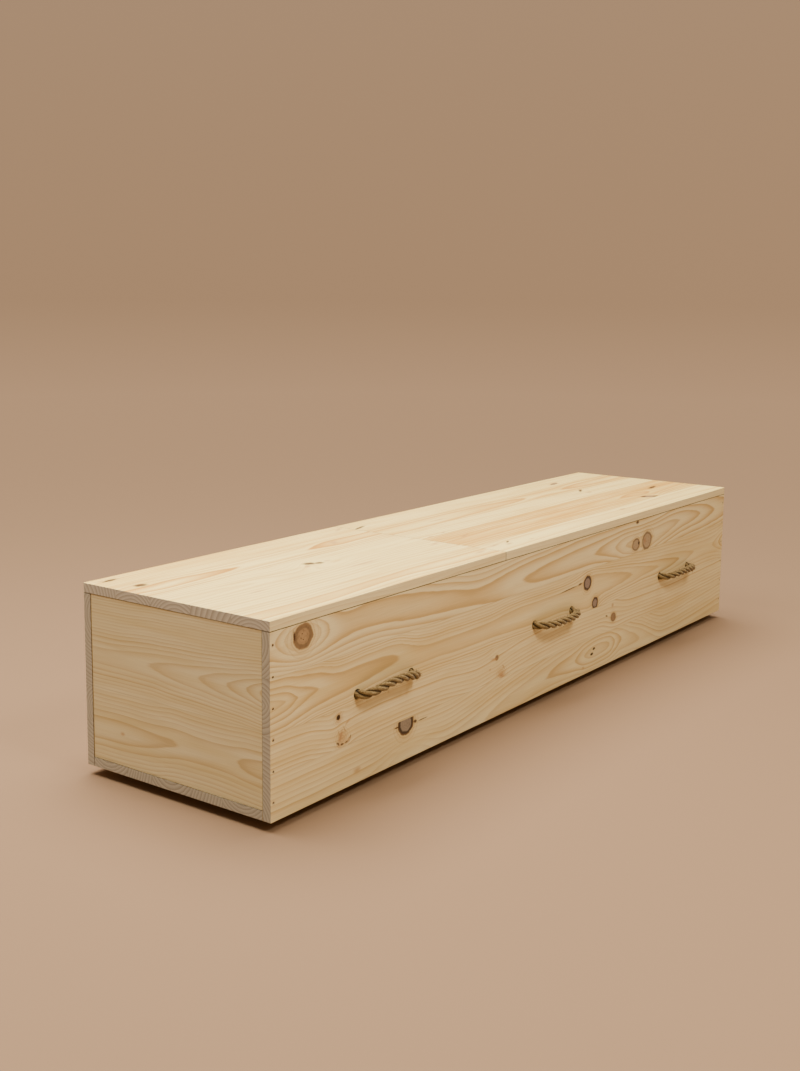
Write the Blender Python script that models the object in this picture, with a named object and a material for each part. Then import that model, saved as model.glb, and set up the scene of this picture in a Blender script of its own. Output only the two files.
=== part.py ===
"""A plain pine coffin, built as a joiner builds it: edge-glued panels butted and nailed into
a long box, a loose lid in two lengths, three battens under the bottom and six rope handles.

Metres, +Z up. The origin is on the floor under the middle of the box. +X runs along the box
from its head end to its foot end, and the near long side faces -Y.
"""

import math

import bmesh
import bpy
from mathutils import Matrix, Vector

# Overall box
BOX_LENGTH = 2.050
BOX_WIDTH = 0.500
SIDE_HEIGHT = 0.360

# Boards
SIDE_BOARD = 0.020
END_BOARD = 0.020
BOTTOM_BOARD = 0.020
LID_BOARD = 0.020
LID_HEAD_LENGTH = 0.800
END_SETBACK = 0.001
EASED_EDGE = 0.0008

# Battens under the bottom
RUNNER_HEIGHT = 0.020
RUNNER_WIDTH = 0.070
RUNNER_FROM_SIDE = 0.080
RUNNER_FROM_END = 0.250

# Rope handles
ROPE_DIAMETER = 0.017
ROPE_HOLE_DIAMETER = 0.022
HANDLE_SPAN = 0.180
HANDLE_PITCH = 0.680
HANDLE_HEIGHT = 0.182
HANDLE_STANDOFF = 0.034
HANDLE_SQUARENESS = 2.8
NEAR_HANDLE_SAGS = (-0.015, 0.001, -0.005)
FAR_HANDLE_SAGS = (0.002, 0.003, 0.002)
KNOT_DIAMETER = 0.048
KNOT_LENGTH = 0.050
ROPE_TAIL = 0.020

# Nails through the sides into the end boards
NAILS_IN_CORNER = 6
LOWEST_NAIL = 0.037
NAIL_PITCH = 0.0595
NAIL_INTO_END = 0.007
NAIL_HOLE_DIAMETER = 0.005
NAIL_HOLE_DEPTH = 0.0015

# Gap between pieces that touch
TOUCH = 0.0003
# Gap where the two lengths of the lid butt together
LID_JOINT = 0.001

# How finely round shapes are cut
HOLE_SIDES = 20
NAIL_SIDES = 8
GRIP_POINTS = 25
KNOT_POINTS = 7
ROPE_ROUNDNESS = 3

# Heights and planes that follow from the sizes above
BOX_FLOOR = RUNNER_HEIGHT
SIDE_TOP = BOX_FLOOR + SIDE_HEIGHT
BOARD_TOP_OF_BOTTOM = BOX_FLOOR + BOTTOM_BOARD
LID_UNDERSIDE = SIDE_TOP + TOUCH
HALF_LENGTH = BOX_LENGTH / 2
HALF_WIDTH = BOX_WIDTH / 2
BETWEEN_SIDES = BOX_WIDTH - 2 * (SIDE_BOARD + TOUCH)
HANDLE_Z = BOX_FLOOR + HANDLE_HEIGHT
HANDLE_CENTRES = (-HANDLE_PITCH, 0.0, HANDLE_PITCH)


def clear_scene():
    for old in list(bpy.data.objects):
        bpy.data.objects.remove(old, do_unlink=True)


def material(name, colour, roughness, metallic=0.0):
    made = bpy.data.materials.new(name)
    made.use_nodes = True
    shader = made.node_tree.nodes["Principled BSDF"]
    shader.inputs["Base Color"].default_value = (*colour, 1.0)
    shader.inputs["Roughness"].default_value = roughness
    shader.inputs["Metallic"].default_value = metallic
    return made


def add_object(name, mesh, finish=None):
    made = bpy.data.objects.new(name, mesh)
    bpy.context.scene.collection.objects.link(made)
    if finish is not None:
        made.data.materials.append(finish)
    return made


def board(name, low, high, finish):
    """A rectangular board between two corners, with its edges eased by a small chamfer."""
    low, high = Vector(low), Vector(high)
    form = bmesh.new()
    bmesh.ops.create_cube(form, size=1.0)
    bmesh.ops.scale(form, vec=high - low, verts=form.verts)
    bmesh.ops.bevel(
        form, geom=list(form.edges), offset=EASED_EDGE, segments=1, profile=0.5, affect="EDGES"
    )
    mesh = bpy.data.meshes.new(name)
    form.to_mesh(mesh)
    form.free()
    made = add_object(name, mesh, finish)
    made.location = (low + high) / 2
    return made


def drill(form, centre, diameter, depth, sides):
    """Adds one closed cylinder along Y to a cutter, centred on a point."""
    along_y = Matrix.Rotation(math.pi / 2, 4, "X")
    bmesh.ops.create_cone(
        form,
        cap_ends=True,
        segments=sides,
        radius1=diameter / 2,
        radius2=diameter / 2,
        depth=depth,
        matrix=Matrix.Translation(centre) @ along_y,
    )


def cut(target, form, name):
    """Takes the cutter's shape out of the target, and leaves the cutter in the scene as a guide."""
    mesh = bpy.data.meshes.new(name)
    form.to_mesh(mesh)
    form.free()
    cutter = add_object(name, mesh)
    cutter.hide_render = True
    cutter.display_type = "WIRE"
    boolean = target.modifiers.new("holes", "BOOLEAN")
    boolean.operation = "DIFFERENCE"
    boolean.solver = "EXACT"
    boolean.object = cutter
    return cutter


def hole_places():
    """The x of the two rope holes of each handle."""
    return [centre + end * HANDLE_SPAN / 2 for centre in HANDLE_CENTRES for end in (-1, 1)]


def nail_places():
    """The (x, z) of each nail that goes through a side into an end board."""
    into_end = HALF_LENGTH - END_SETBACK - NAIL_INTO_END
    heights = [BOX_FLOOR + LOWEST_NAIL + k * NAIL_PITCH for k in range(NAILS_IN_CORNER)]
    return [(end * into_end, z) for end in (-1, 1) for z in heights]


def side_panel(name, outward, finish):
    """A long side with its rope holes and sunk nail holes. outward is -1 for near, 1 for far."""
    outer, inner = outward * HALF_WIDTH, outward * (HALF_WIDTH - SIDE_BOARD)
    panel = board(
        name,
        (-HALF_LENGTH, min(outer, inner), BOX_FLOOR),
        (HALF_LENGTH, max(outer, inner), SIDE_TOP),
        finish,
    )
    form = bmesh.new()
    for x in hole_places():
        drill(form, (x, (outer + inner) / 2, HANDLE_Z), ROPE_HOLE_DIAMETER, 2 * SIDE_BOARD, HOLE_SIDES)
    for x, z in nail_places():
        drill(form, (x, outer, z), NAIL_HOLE_DIAMETER, 2 * NAIL_HOLE_DEPTH, NAIL_SIDES)
    cut(panel, form, name + "_cutter")
    return panel


def end_panel(name, outward, finish):
    """A short end board between the sides, standing on the bottom. outward is -1 for the head."""
    outer = outward * (HALF_LENGTH - END_SETBACK)
    inner = outer - outward * END_BOARD
    return board(
        name,
        (min(outer, inner), -BETWEEN_SIDES / 2, BOARD_TOP_OF_BOTTOM + TOUCH),
        (max(outer, inner), BETWEEN_SIDES / 2, SIDE_TOP),
        finish,
    )


def lid_panel(name, x_low, x_high, finish):
    return board(
        name,
        (x_low, -HALF_WIDTH, LID_UNDERSIDE),
        (x_high, HALF_WIDTH, LID_UNDERSIDE + LID_BOARD),
        finish,
    )


def runner(name, centre_x, finish):
    half_run = HALF_WIDTH - RUNNER_FROM_SIDE
    return board(
        name,
        (centre_x - RUNNER_WIDTH / 2, -half_run, 0.0),
        (centre_x + RUNNER_WIDTH / 2, half_run, RUNNER_HEIGHT - TOUCH),
        finish,
    )


def grip_points(outward, centre_x, sag):
    """The rope outside the box, from one hole to the other: a flattened bow that leaves and
    meets the side at a right angle, as a superellipse does."""
    points = []
    for k in range(GRIP_POINTS):
        turn = math.pi * (1 - k / (GRIP_POINTS - 1))
        across, out = math.cos(turn), math.sin(turn)
        power = 2 / HANDLE_SQUARENESS
        along = math.copysign(abs(across) ** power, across)
        x = centre_x + along * HANDLE_SPAN / 2
        y = outward * (HALF_WIDTH + HANDLE_STANDOFF * abs(out) ** power)
        z = HANDLE_Z - sag * (1 - along * along)
        points.append((Vector((x, y, z)), 1.0))
    return points


def inner_end(outward, x):
    """The rope from the inner face inwards: the stopper knot as a swelling, then a short tail.
    Each point has the rope's thickness there, as a share of its usual one."""
    inner_face = HALF_WIDTH - SIDE_BOARD - TOUCH
    swell = KNOT_DIAMETER / ROPE_DIAMETER
    points = [(Vector((x, outward * inner_face, HANDLE_Z)), 1.0)]
    for k in range(1, KNOT_POINTS):
        share = k / KNOT_POINTS
        thickness = 1 + (swell - 1) * math.sqrt(math.sin(math.pi * share))
        depth = inner_face - share * KNOT_LENGTH
        points.append((Vector((x, outward * depth, HANDLE_Z)), thickness))
    for depth in (KNOT_LENGTH, KNOT_LENGTH + ROPE_TAIL):
        points.append((Vector((x, outward * (inner_face - depth), HANDLE_Z)), 1.0))
    return points


def rope_handle(name, outward, centre_x, sag, finish):
    """One length of rope: tail, knot, through the side, the grip, back in, knot and tail."""
    start = inner_end(outward, centre_x - HANDLE_SPAN / 2)[::-1]
    finish_end = inner_end(outward, centre_x + HANDLE_SPAN / 2)
    route = start + grip_points(outward, centre_x, sag) + finish_end
    curve = bpy.data.curves.new(name, "CURVE")
    curve.dimensions = "3D"
    curve.twist_mode = "MINIMUM"
    curve.bevel_depth = ROPE_DIAMETER / 2
    curve.bevel_resolution = ROPE_ROUNDNESS
    curve.use_fill_caps = True
    spline = curve.splines.new("POLY")
    spline.points.add(len(route) - 1)
    for point, (place, thickness) in zip(spline.points, route):
        point.co = (*place, 1.0)
        point.radius = thickness
    spline.use_smooth = True
    return add_object(name, curve, finish)


def build():
    clear_scene()
    pine = material("pine_planed", (0.71, 0.53, 0.33), 0.55)
    lid_pine = material("pine_lid", (0.78, 0.62, 0.42), 0.55)
    batten_pine = material("pine_batten", (0.62, 0.45, 0.28), 0.65)
    hemp = material("hemp_rope", (0.26, 0.18, 0.10), 0.9)

    board(
        "bottom_panel",
        (-HALF_LENGTH, -BETWEEN_SIDES / 2, BOX_FLOOR),
        (HALF_LENGTH, BETWEEN_SIDES / 2, BOARD_TOP_OF_BOTTOM),
        pine,
    )
    for name, outward in (("side_near", -1), ("side_far", 1)):
        side_panel(name, outward, pine)
    for name, outward in (("end_head", -1), ("end_foot", 1)):
        end_panel(name, outward, pine)

    lid_joint = -HALF_LENGTH + LID_HEAD_LENGTH
    lid_panel("lid_head", -HALF_LENGTH, lid_joint, lid_pine)
    lid_panel("lid_foot", lid_joint + LID_JOINT, HALF_LENGTH, lid_pine)

    outer_runner = HALF_LENGTH - RUNNER_FROM_END - RUNNER_WIDTH / 2
    for name, centre in (("head", -outer_runner), ("middle", 0.0), ("foot", outer_runner)):
        runner("runner_" + name, centre, batten_pine)

    for side, outward, sags in (("near", -1, NEAR_HANDLE_SAGS), ("far", 1, FAR_HANDLE_SAGS)):
        for number, (centre, sag) in enumerate(zip(HANDLE_CENTRES, sags), start=1):
            rope_handle(f"rope_handle_{side}_{number}", outward, centre, sag, hemp)


build()
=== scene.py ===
"""A plain pine coffin: its figured boards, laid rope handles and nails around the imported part."""

import math

import bmesh
import bpy
import numpy as np
from mathutils import Matrix, Vector


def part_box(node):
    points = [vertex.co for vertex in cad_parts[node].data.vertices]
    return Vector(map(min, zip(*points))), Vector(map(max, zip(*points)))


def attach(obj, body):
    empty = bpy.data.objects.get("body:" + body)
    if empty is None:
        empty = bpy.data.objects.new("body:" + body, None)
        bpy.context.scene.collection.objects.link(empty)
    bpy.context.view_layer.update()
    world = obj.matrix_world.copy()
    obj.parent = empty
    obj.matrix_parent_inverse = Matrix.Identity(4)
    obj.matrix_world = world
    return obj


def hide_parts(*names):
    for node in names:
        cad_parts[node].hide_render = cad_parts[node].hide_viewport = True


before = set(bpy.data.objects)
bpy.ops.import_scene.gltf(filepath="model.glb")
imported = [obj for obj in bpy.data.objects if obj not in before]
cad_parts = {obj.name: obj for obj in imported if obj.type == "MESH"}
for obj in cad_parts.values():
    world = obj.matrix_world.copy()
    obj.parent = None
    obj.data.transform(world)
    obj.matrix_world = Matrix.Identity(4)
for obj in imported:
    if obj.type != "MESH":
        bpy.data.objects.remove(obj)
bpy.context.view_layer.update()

MM = 0.001


def linear(colour):
    """An sRGB hex colour as the linear RGBA that shaders take."""
    parts = [int(colour[k:k + 2], 16) / 255 for k in (0, 2, 4)]
    return (*[c / 12.92 if c <= 0.04045 else ((c + 0.055) / 1.055) ** 2.4 for c in parts], 1.0)


def add(tree, kind, inputs=None, **settings):
    """Adds a node. Inputs are named or counted among the sockets in use, and take a value, an
    output, or a node for that node's first output."""
    made = tree.nodes.new(kind)
    for name, value in settings.items():
        setattr(made, name, value)
    open_sockets = [s for s in made.inputs if not s.is_unavailable]
    for key, value in (inputs or {}).items():
        if isinstance(key, int):
            socket = open_sockets[key]
        else:
            socket = next(s for s in open_sockets if s.name == key)
        if isinstance(value, bpy.types.Node):
            value = next(s for s in value.outputs if not s.is_unavailable)
        if isinstance(value, bpy.types.NodeSocket):
            tree.links.new(value, socket)
        else:
            socket.default_value = value
    return made


MATH = "ShaderNodeMath"
MIX = "ShaderNodeMix"
NOISE = "ShaderNodeTexNoise"
RANGE = "ShaderNodeMapRange"
VECTOR = "ShaderNodeVectorMath"
ATTRIBUTE = "ShaderNodeAttribute"

# Settings that many nodes share
SMOOTH = dict(interpolation_type="SMOOTHSTEP")
COLOURS = dict(data_type="RGBA")


def new_material(name):
    """An empty material and its node tree."""
    made = bpy.data.materials.new(name)
    made.use_nodes = True
    made.node_tree.nodes.clear()
    return made, made.node_tree


def finish(tree, inputs):
    """Ends a material in its one surface, with the given inputs."""
    surface = add(tree, "ShaderNodeBsdfPrincipled", inputs)
    add(tree, "ShaderNodeOutputMaterial", {"Surface": surface})


def put(name, mesh, material=None):
    """An object at the origin with the given mesh, linked into the scene."""
    made = bpy.data.objects.new(name, mesh)
    bpy.context.scene.collection.objects.link(made)
    if material is not None:
        mesh.materials.append(material)
    return made


def settled(name, made):
    """The object's shape with all its modifiers applied, as a plain mesh of its own."""
    graph = bpy.context.evaluated_depsgraph_get()
    mesh = bpy.data.meshes.new_from_object(made.evaluated_get(graph))
    mesh.name = name
    bpy.data.objects.remove(made, do_unlink=True)
    return mesh


# Camera, where the photograph was taken from

CAMERA_PLACE = Vector((-2.749, -1.799, 0.999))
CAMERA_YAW = math.radians(53.77)
CAMERA_DOWN = math.radians(8.41)
CAMERA_ROLL = math.radians(0.54)
CAMERA_LENS = 44.54
CAMERA_SENSOR = 36.0
CAMERA_REACH = 200.0
CAMERA_SHIFT_Y = -0.0518


def make_camera():
    """The camera, turned by its yaw, its tilt down and its small roll."""
    ahead = Vector((
        math.sin(CAMERA_YAW) * math.cos(CAMERA_DOWN),
        math.cos(CAMERA_YAW) * math.cos(CAMERA_DOWN),
        -math.sin(CAMERA_DOWN),
    ))
    level = Vector((math.cos(CAMERA_YAW), -math.sin(CAMERA_YAW), 0.0))
    upright = level.cross(ahead)
    right = level * math.cos(CAMERA_ROLL) + upright * math.sin(CAMERA_ROLL)
    up = upright * math.cos(CAMERA_ROLL) - level * math.sin(CAMERA_ROLL)
    lens = bpy.data.cameras.new("camera")
    lens.lens = CAMERA_LENS
    lens.sensor_width = CAMERA_SENSOR
    lens.shift_y = CAMERA_SHIFT_Y
    lens.clip_end = CAMERA_REACH
    made = bpy.data.objects.new("camera", lens)
    bpy.context.scene.collection.objects.link(made)
    turn = Matrix((right, up, -ahead)).transposed().to_4x4()
    made.matrix_world = Matrix.Translation(CAMERA_PLACE) @ turn
    bpy.context.scene.camera = made


make_camera()

# Rope handles: laid rope through two bored holes, stopped inside by an overhand knot at each end

BOX_LENGTH = 2.050
BOX_WIDTH = 0.500
SIDE_BOARD = 0.020
TOUCH = 0.0003
HANDLE_SPAN = 0.180
HANDLE_CENTRES = (-0.680, 0.0, 0.680)
HANDLE_Z = 0.202
HANDLE_STANDOFF = 0.034
HANDLE_SQUARENESS = 2.8
HANDLE_SAGS = {"near": (-0.015, 0.001, -0.005), "far": (0.002, 0.003, 0.002)}
INNER_FACE = BOX_WIDTH / 2 - SIDE_BOARD - TOUCH
LAY_LENGTH = 0.070
# Over the crowns of the strands, which stand a little past the rope's named size
OVER_STRANDS = 0.019
STRAND_RADIUS = 0.464 * OVER_STRANDS / 2
STRAND_OUT = OVER_STRANDS / 2 - STRAND_RADIUS
YARNS = 7.0
STRAND_SIDES = 28
YARN_RIDGE = 0.045
KNOT_LENGTH = 0.050
KNOT_WIDTH = 0.046

# The route's points: through a board, up to just inside its outer face, and round the grip
THROUGH_POINTS = 6
THROUGH_SHORT = 0.001
GRIP_POINTS = 97

# The overhand knot's own curve: where it ends, how far it swings and runs in its own units, and
# how far from the inner face it starts
KNOT_POINTS = 120
KNOT_END = 2.08
KNOT_SWING = 2.9
KNOT_RUN = 36.0
KNOT_OFF = 0.006
# How much of the knot's width it takes sideways and upwards
KNOT_SIDEWAYS = 0.30
KNOT_UPWARDS = 0.28

# How finely the rope is cut along its route, and its loose fibres: how many to a square metre,
# and their length and radius
ROPE_STEP = 1.2 * MM
KNOT_STEP = 2.4 * MM
LOOSE_DENSITY = 26000.0
LOOSE_LENGTH = 5.5 * MM
LOOSE_RADIUS = 0.11 * MM
# The most that a loose fibre leans off its strand, in radians
LOOSE_LEAN = 1.15
# How far the lay is turned on from one handle to the next, so that no two look alike
HANDLE_TURN = 0.9
KNOT_TURN = 0.4
FULL_TURN = 6.28

# The rope's pattern: a fibre's length, fibres round one strand, and spots to a metre, about 3 mm
# wide on the rope and 5 mm on the loose fibres
FIBRE_LENGTH = 14 * MM
FIBRES_ROUND_STRAND = 34.0
ROPE_SPOTS = 340.0
FIBRE_SPOTS = 210.0


def handle_route(outward, centre_x, sag):
    """The middle of the rope from one inner face out, round the grip and back in."""
    ends = centre_x - HANDLE_SPAN / 2, centre_x + HANDLE_SPAN / 2
    through = np.linspace(INNER_FACE, BOX_WIDTH / 2 - THROUGH_SHORT, THROUGH_POINTS)
    route = [Vector((ends[0], outward * y, HANDLE_Z)) for y in through]
    power = 2 / HANDLE_SQUARENESS
    for turn in np.linspace(math.pi, 0, GRIP_POINTS):
        across, out = math.cos(turn), math.sin(turn)
        along = math.copysign(abs(across) ** power, across)
        route.append(Vector((
            centre_x + along * HANDLE_SPAN / 2,
            outward * (BOX_WIDTH / 2 + HANDLE_STANDOFF * abs(out) ** power),
            HANDLE_Z - sag * (1 - along * along),
        )))
    return route + [Vector((ends[1], outward * y, HANDLE_Z)) for y in through[::-1]]


def knot_route(outward, x):
    """An overhand knot drawn up against the inner face, and its short tail."""
    route = [Vector((x, outward * INNER_FACE, HANDLE_Z))]
    for t in np.linspace(-KNOT_END, KNOT_END, KNOT_POINTS):
        bow, wide, run = t**3 - 3 * t, t**4 - 4 * t**2, t**5 - 10 * t
        route.append(Vector((
            x + bow / KNOT_SWING * KNOT_WIDTH * KNOT_SIDEWAYS,
            outward * (INNER_FACE - KNOT_OFF - KNOT_LENGTH * (0.5 + run / KNOT_RUN)),
            HANDLE_Z + (wide + 2.0) / KNOT_SWING * KNOT_WIDTH * KNOT_UPWARDS,
        )))
    return route


def new_tree(name, sockets):
    """A geometry node tree with named inputs. Gives the tree and its inputs' outputs."""
    tree = bpy.data.node_groups.new(name, "GeometryNodeTree")
    tree.interface.new_socket("Geometry", in_out="INPUT", socket_type="NodeSocketGeometry")
    for socket, kind in sockets:
        tree.interface.new_socket(socket, in_out="INPUT", socket_type=kind)
    tree.interface.new_socket("Geometry", in_out="OUTPUT", socket_type="NodeSocketGeometry")
    return tree, add(tree, "NodeGroupInput").outputs


def grown(name, mesh, tree, sizes):
    """The plain mesh that a node tree makes from a starting mesh, with its named inputs set."""
    host = put(name, mesh)
    modifier = host.modifiers.new(tree.name, "NODES")
    modifier.node_group = tree
    for item in tree.interface.items_tree:
        if item.in_out == "INPUT" and item.name in sizes:
            modifier[item.identifier] = sizes[item.name]
    return settled(name, host)


def end_tree(tree, geometry, material):
    """Ends a node tree: no instances are left, and its material is set."""
    real = add(tree, "GeometryNodeRealizeInstances", {"Geometry": geometry})
    real = add(tree, "GeometryNodeSetMaterial", {"Geometry": real, "Material": material})
    add(tree, "NodeGroupOutput", {0: real})


def line_mesh(name, points):
    """A path of straight edges for a node tree to start from."""
    mesh = bpy.data.meshes.new(name)
    mesh.from_pydata(points, [(k, k + 1) for k in range(len(points) - 1)], [])
    return mesh


def laid_rope_tree():
    """Three strands twisted right-handed round a path, each with its own twisted yarns."""
    tree, given = new_tree("laid rope", [
        ("Strand Radius", "NodeSocketFloat"), ("Strand Out", "NodeSocketFloat"),
        ("Lay Length", "NodeSocketFloat"), ("Step", "NodeSocketFloat"),
        ("Yarns", "NodeSocketFloat"), ("Start Turn", "NodeSocketFloat"),
        ("Material", "NodeSocketMaterial"),
    ])
    path = add(tree, "GeometryNodeMeshToCurve", {"Mesh": given["Geometry"]})
    path = add(
        tree, "GeometryNodeResampleCurve", {"Curve": path, "Length": given["Step"]}, mode="LENGTH"
    )
    strands = add(
        tree, "GeometryNodeDuplicateElements", {"Geometry": path, "Amount": 3}, domain="SPLINE"
    )
    run = add(tree, "GeometryNodeSplineParameter").outputs["Length"]
    turns = add(tree, MATH, {0: run, 1: given["Lay Length"]}, operation="DIVIDE")
    third = add(tree, MATH, {
        0: strands.outputs["Duplicate Index"], 1: 1 / 3, 2: turns,
    }, operation="MULTIPLY_ADD")
    turn = add(tree, MATH, {
        0: third, 1: 2 * math.pi, 2: given["Start Turn"],
    }, operation="MULTIPLY_ADD")
    normal = add(tree, "GeometryNodeInputNormal")
    tangent = add(tree, "GeometryNodeInputTangent")
    beside = add(tree, VECTOR, {0: tangent, 1: normal}, operation="CROSS_PRODUCT")
    cosine = add(tree, MATH, {0: turn}, operation="COSINE")
    sine = add(tree, MATH, {0: turn}, operation="SINE")
    one = add(tree, VECTOR, {0: normal, "Scale": cosine}, operation="SCALE")
    other = add(tree, VECTOR, {0: beside, "Scale": sine}, operation="SCALE")
    out = add(tree, VECTOR, {0: one, 1: other}, operation="ADD")
    out = add(tree, VECTOR, {0: out, "Scale": given["Strand Out"]}, operation="SCALE")
    strands = add(tree, "GeometryNodeSetPosition", {"Geometry": strands, "Offset": out})
    way = add(tree, "ShaderNodeCombineXYZ", {0: run, 1: third})
    strands = add(
        tree, "GeometryNodeStoreNamedAttribute",
        {"Geometry": strands, "Name": "way", "Value": way}, data_type="FLOAT_VECTOR", domain="POINT",
    )
    back_turn = add(tree, MATH, {0: turns, 1: -2 * math.pi}, operation="MULTIPLY")
    strands = add(tree, "GeometryNodeSetCurveTilt", {"Curve": strands, "Tilt": back_turn})

    # Strand section: round, with a shallow ridge for each yarn
    section = add(tree, "GeometryNodeCurvePrimitiveCircle", {
        "Resolution": STRAND_SIDES, "Radius": given["Strand Radius"],
    })
    round_way = add(tree, "GeometryNodeSplineParameter").outputs["Factor"]
    ridge = add(tree, MATH, {0: round_way, 1: given["Yarns"]}, operation="MULTIPLY")
    ridge = add(tree, MATH, {0: ridge, 1: 2 * math.pi}, operation="MULTIPLY")
    ridge = add(tree, MATH, {0: ridge}, operation="COSINE")
    ridge = add(tree, MATH, {0: ridge, 1: YARN_RIDGE, 2: 0.965}, operation="MULTIPLY_ADD")
    place = add(tree, "GeometryNodeInputPosition")
    place = add(tree, VECTOR, {0: place, "Scale": ridge}, operation="SCALE")
    section = add(tree, "GeometryNodeSetPosition", {"Geometry": section, "Position": place})
    section = add(
        tree, "GeometryNodeStoreNamedAttribute",
        {"Geometry": section, "Name": "round", "Value": round_way}, data_type="FLOAT", domain="POINT",
    )

    # Lumps about 6 mm long, so that no strand is quite even
    lumps = add(tree, NOISE, {"Scale": 160.0, "Detail": 1.0})
    lumps = add(tree, RANGE, {
        "Value": lumps, "From Min": 0.3, "From Max": 0.7, "To Min": 0.95, "To Max": 1.04,
    })
    rope = add(
        tree, "GeometryNodeCurveToMesh",
        {"Curve": strands, "Profile Curve": section, "Scale": lumps, "Fill Caps": True},
    )
    rope = add(tree, "GeometryNodeSetShadeSmooth", {"Geometry": rope})
    end_tree(tree, rope, given["Material"])
    return tree


def fuzz_tree():
    """Loose fibre ends that stand off the strands at random."""
    tree, given = new_tree("loose fibres", [
        ("Density", "NodeSocketFloat"), ("Fibre Length", "NodeSocketFloat"),
        ("Fibre Radius", "NodeSocketFloat"), ("Seed", "NodeSocketInt"),
        ("Material", "NodeSocketMaterial"),
    ])
    roots = add(
        tree, "GeometryNodeDistributePointsOnFaces",
        {"Mesh": given["Geometry"], "Density": given["Density"], "Seed": given["Seed"]},
    )
    reach = add(tree, "ShaderNodeCombineXYZ", {2: given["Fibre Length"]})
    sweep = add(tree, MATH, {0: given["Fibre Length"], 1: 0.6}, operation="MULTIPLY")
    middle = add(tree, "ShaderNodeCombineXYZ", {2: sweep})
    tip = add(tree, "ShaderNodeCombineXYZ", {0: sweep, 2: given["Fibre Length"]})
    fibre = add(tree, "GeometryNodeCurvePrimitiveBezierSegment", {
        "Resolution": 4, "Start": (0, 0, 0), "Start Handle": middle, "End Handle": reach,
        "End": tip,
    })
    section = add(tree, "GeometryNodeCurvePrimitiveCircle", {
        "Resolution": 3, "Radius": given["Fibre Radius"],
    })
    fibre = add(tree, "GeometryNodeCurveToMesh", {
        "Curve": fibre, "Profile Curve": section, "Fill Caps": True,
    })

    # Each leans its own way, off the strand and round itself
    lean = add(tree, "FunctionNodeRandomValue", {
        "Min": (-LOOSE_LEAN, -LOOSE_LEAN, 0.0), "Max": (LOOSE_LEAN, LOOSE_LEAN, FULL_TURN),
        "Seed": given["Seed"],
    }, data_type="FLOAT_VECTOR")
    lean = add(tree, "FunctionNodeEulerToRotation", {"Euler": lean})
    turn = add(tree, "FunctionNodeRotateRotation", {
        "Rotation": roots.outputs["Rotation"], "Rotate By": lean,
    }, rotation_space="LOCAL")
    size = add(tree, "FunctionNodeRandomValue", {
        "Min": 0.35, "Max": 1.15, "Seed": given["Seed"],
    }, data_type="FLOAT")
    fibres = add(
        tree, "GeometryNodeInstanceOnPoints",
        {"Points": roots, "Instance": fibre, "Rotation": turn, "Scale": size},
    )
    end_tree(tree, fibres, given["Material"])
    return tree


def hemp():
    """Natural hemp, laid in three strands: hairy and matt, tan with lighter and darker yarns, and
    painted shade that turns it dark brown in the grooves between the strands."""
    made, tree = new_material("hemp rope, three-strand laid")
    way = add(tree, ATTRIBUTE, attribute_name="way").outputs["Vector"]
    turn = add(tree, ATTRIBUTE, attribute_name="round").outputs["Fac"]
    crown = add(tree, ATTRIBUTE, attribute_name="crown").outputs["Fac"]
    where = add(tree, "ShaderNodeTexCoord").outputs["Object"]

    # Fibres: long along the strand, and fine round it
    along, strand, _ = add(tree, "ShaderNodeSeparateXYZ", {0: way}).outputs
    run = add(tree, MATH, {0: along, 1: 1 / FIBRE_LENGTH}, operation="MULTIPLY")
    strand = add(tree, MATH, {0: strand, 1: 3.0}, operation="MULTIPLY")
    yarn = add(tree, MATH, {0: turn, 1: FIBRES_ROUND_STRAND}, operation="MULTIPLY")
    place = add(tree, "ShaderNodeCombineXYZ", {0: run, 1: yarn, 2: strand})
    fibres = add(tree, NOISE, {"Vector": place, "Scale": 1.0, "Detail": 4.0, "Roughness": 0.65})

    # Straw colours, with darker spots, and painted shade that darkens the grooves between strands
    shade = add(tree, RANGE, {"Value": fibres, "From Min": 0.36, "From Max": 0.64})
    straw = add(tree, MIX, {0: shade, 1: linear("58482D"), 2: linear("A48E60")}, **COLOURS)
    spots = add(tree, NOISE, {"Vector": where, "Scale": ROPE_SPOTS, "Detail": 2.0})
    spotted = add(tree, RANGE, {"Value": spots, "From Min": 0.50, "From Max": 0.66, "To Max": 0.5})
    straw = add(tree, MIX, {0: spotted, 1: straw, 2: linear("4E3B1E")}, **COLOURS)
    # Painted shade: the colour darkens from the crowns of the strands into the grooves between them
    high = add(tree, RANGE, {"Value": crown, "From Min": 0.46, "From Max": 0.92}, **SMOOTH)
    colour = add(tree, MIX, {0: high, 1: linear("40311A"), 2: straw}, **COLOURS)

    ridge = add(tree, MATH, {0: fibres, 1: high}, operation="MULTIPLY")
    bump = add(tree, "ShaderNodeBump", {"Height": ridge, "Strength": 0.7, "Distance": 0.6 * MM})
    finish(tree, {
        "Base Color": colour, "Normal": bump, "Roughness": 0.88, "IOR": 1.5,
        "Specular IOR Level": 0.2, "Sheen Weight": 0.15,
    })
    return made


def loose_hemp():
    """The same hemp's loose fibre ends: pale where they catch the light."""
    made, tree = new_material("hemp fibre ends")
    where = add(tree, "ShaderNodeTexCoord").outputs["Object"]
    spots = add(tree, NOISE, {"Vector": where, "Scale": FIBRE_SPOTS, "Detail": 1.0})
    colour = add(tree, MIX, {0: spots, 1: linear("7C6844"), 2: linear("B8A276")}, **COLOURS)
    finish(tree, {"Base Color": colour, "Roughness": 0.9})
    return made


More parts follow.
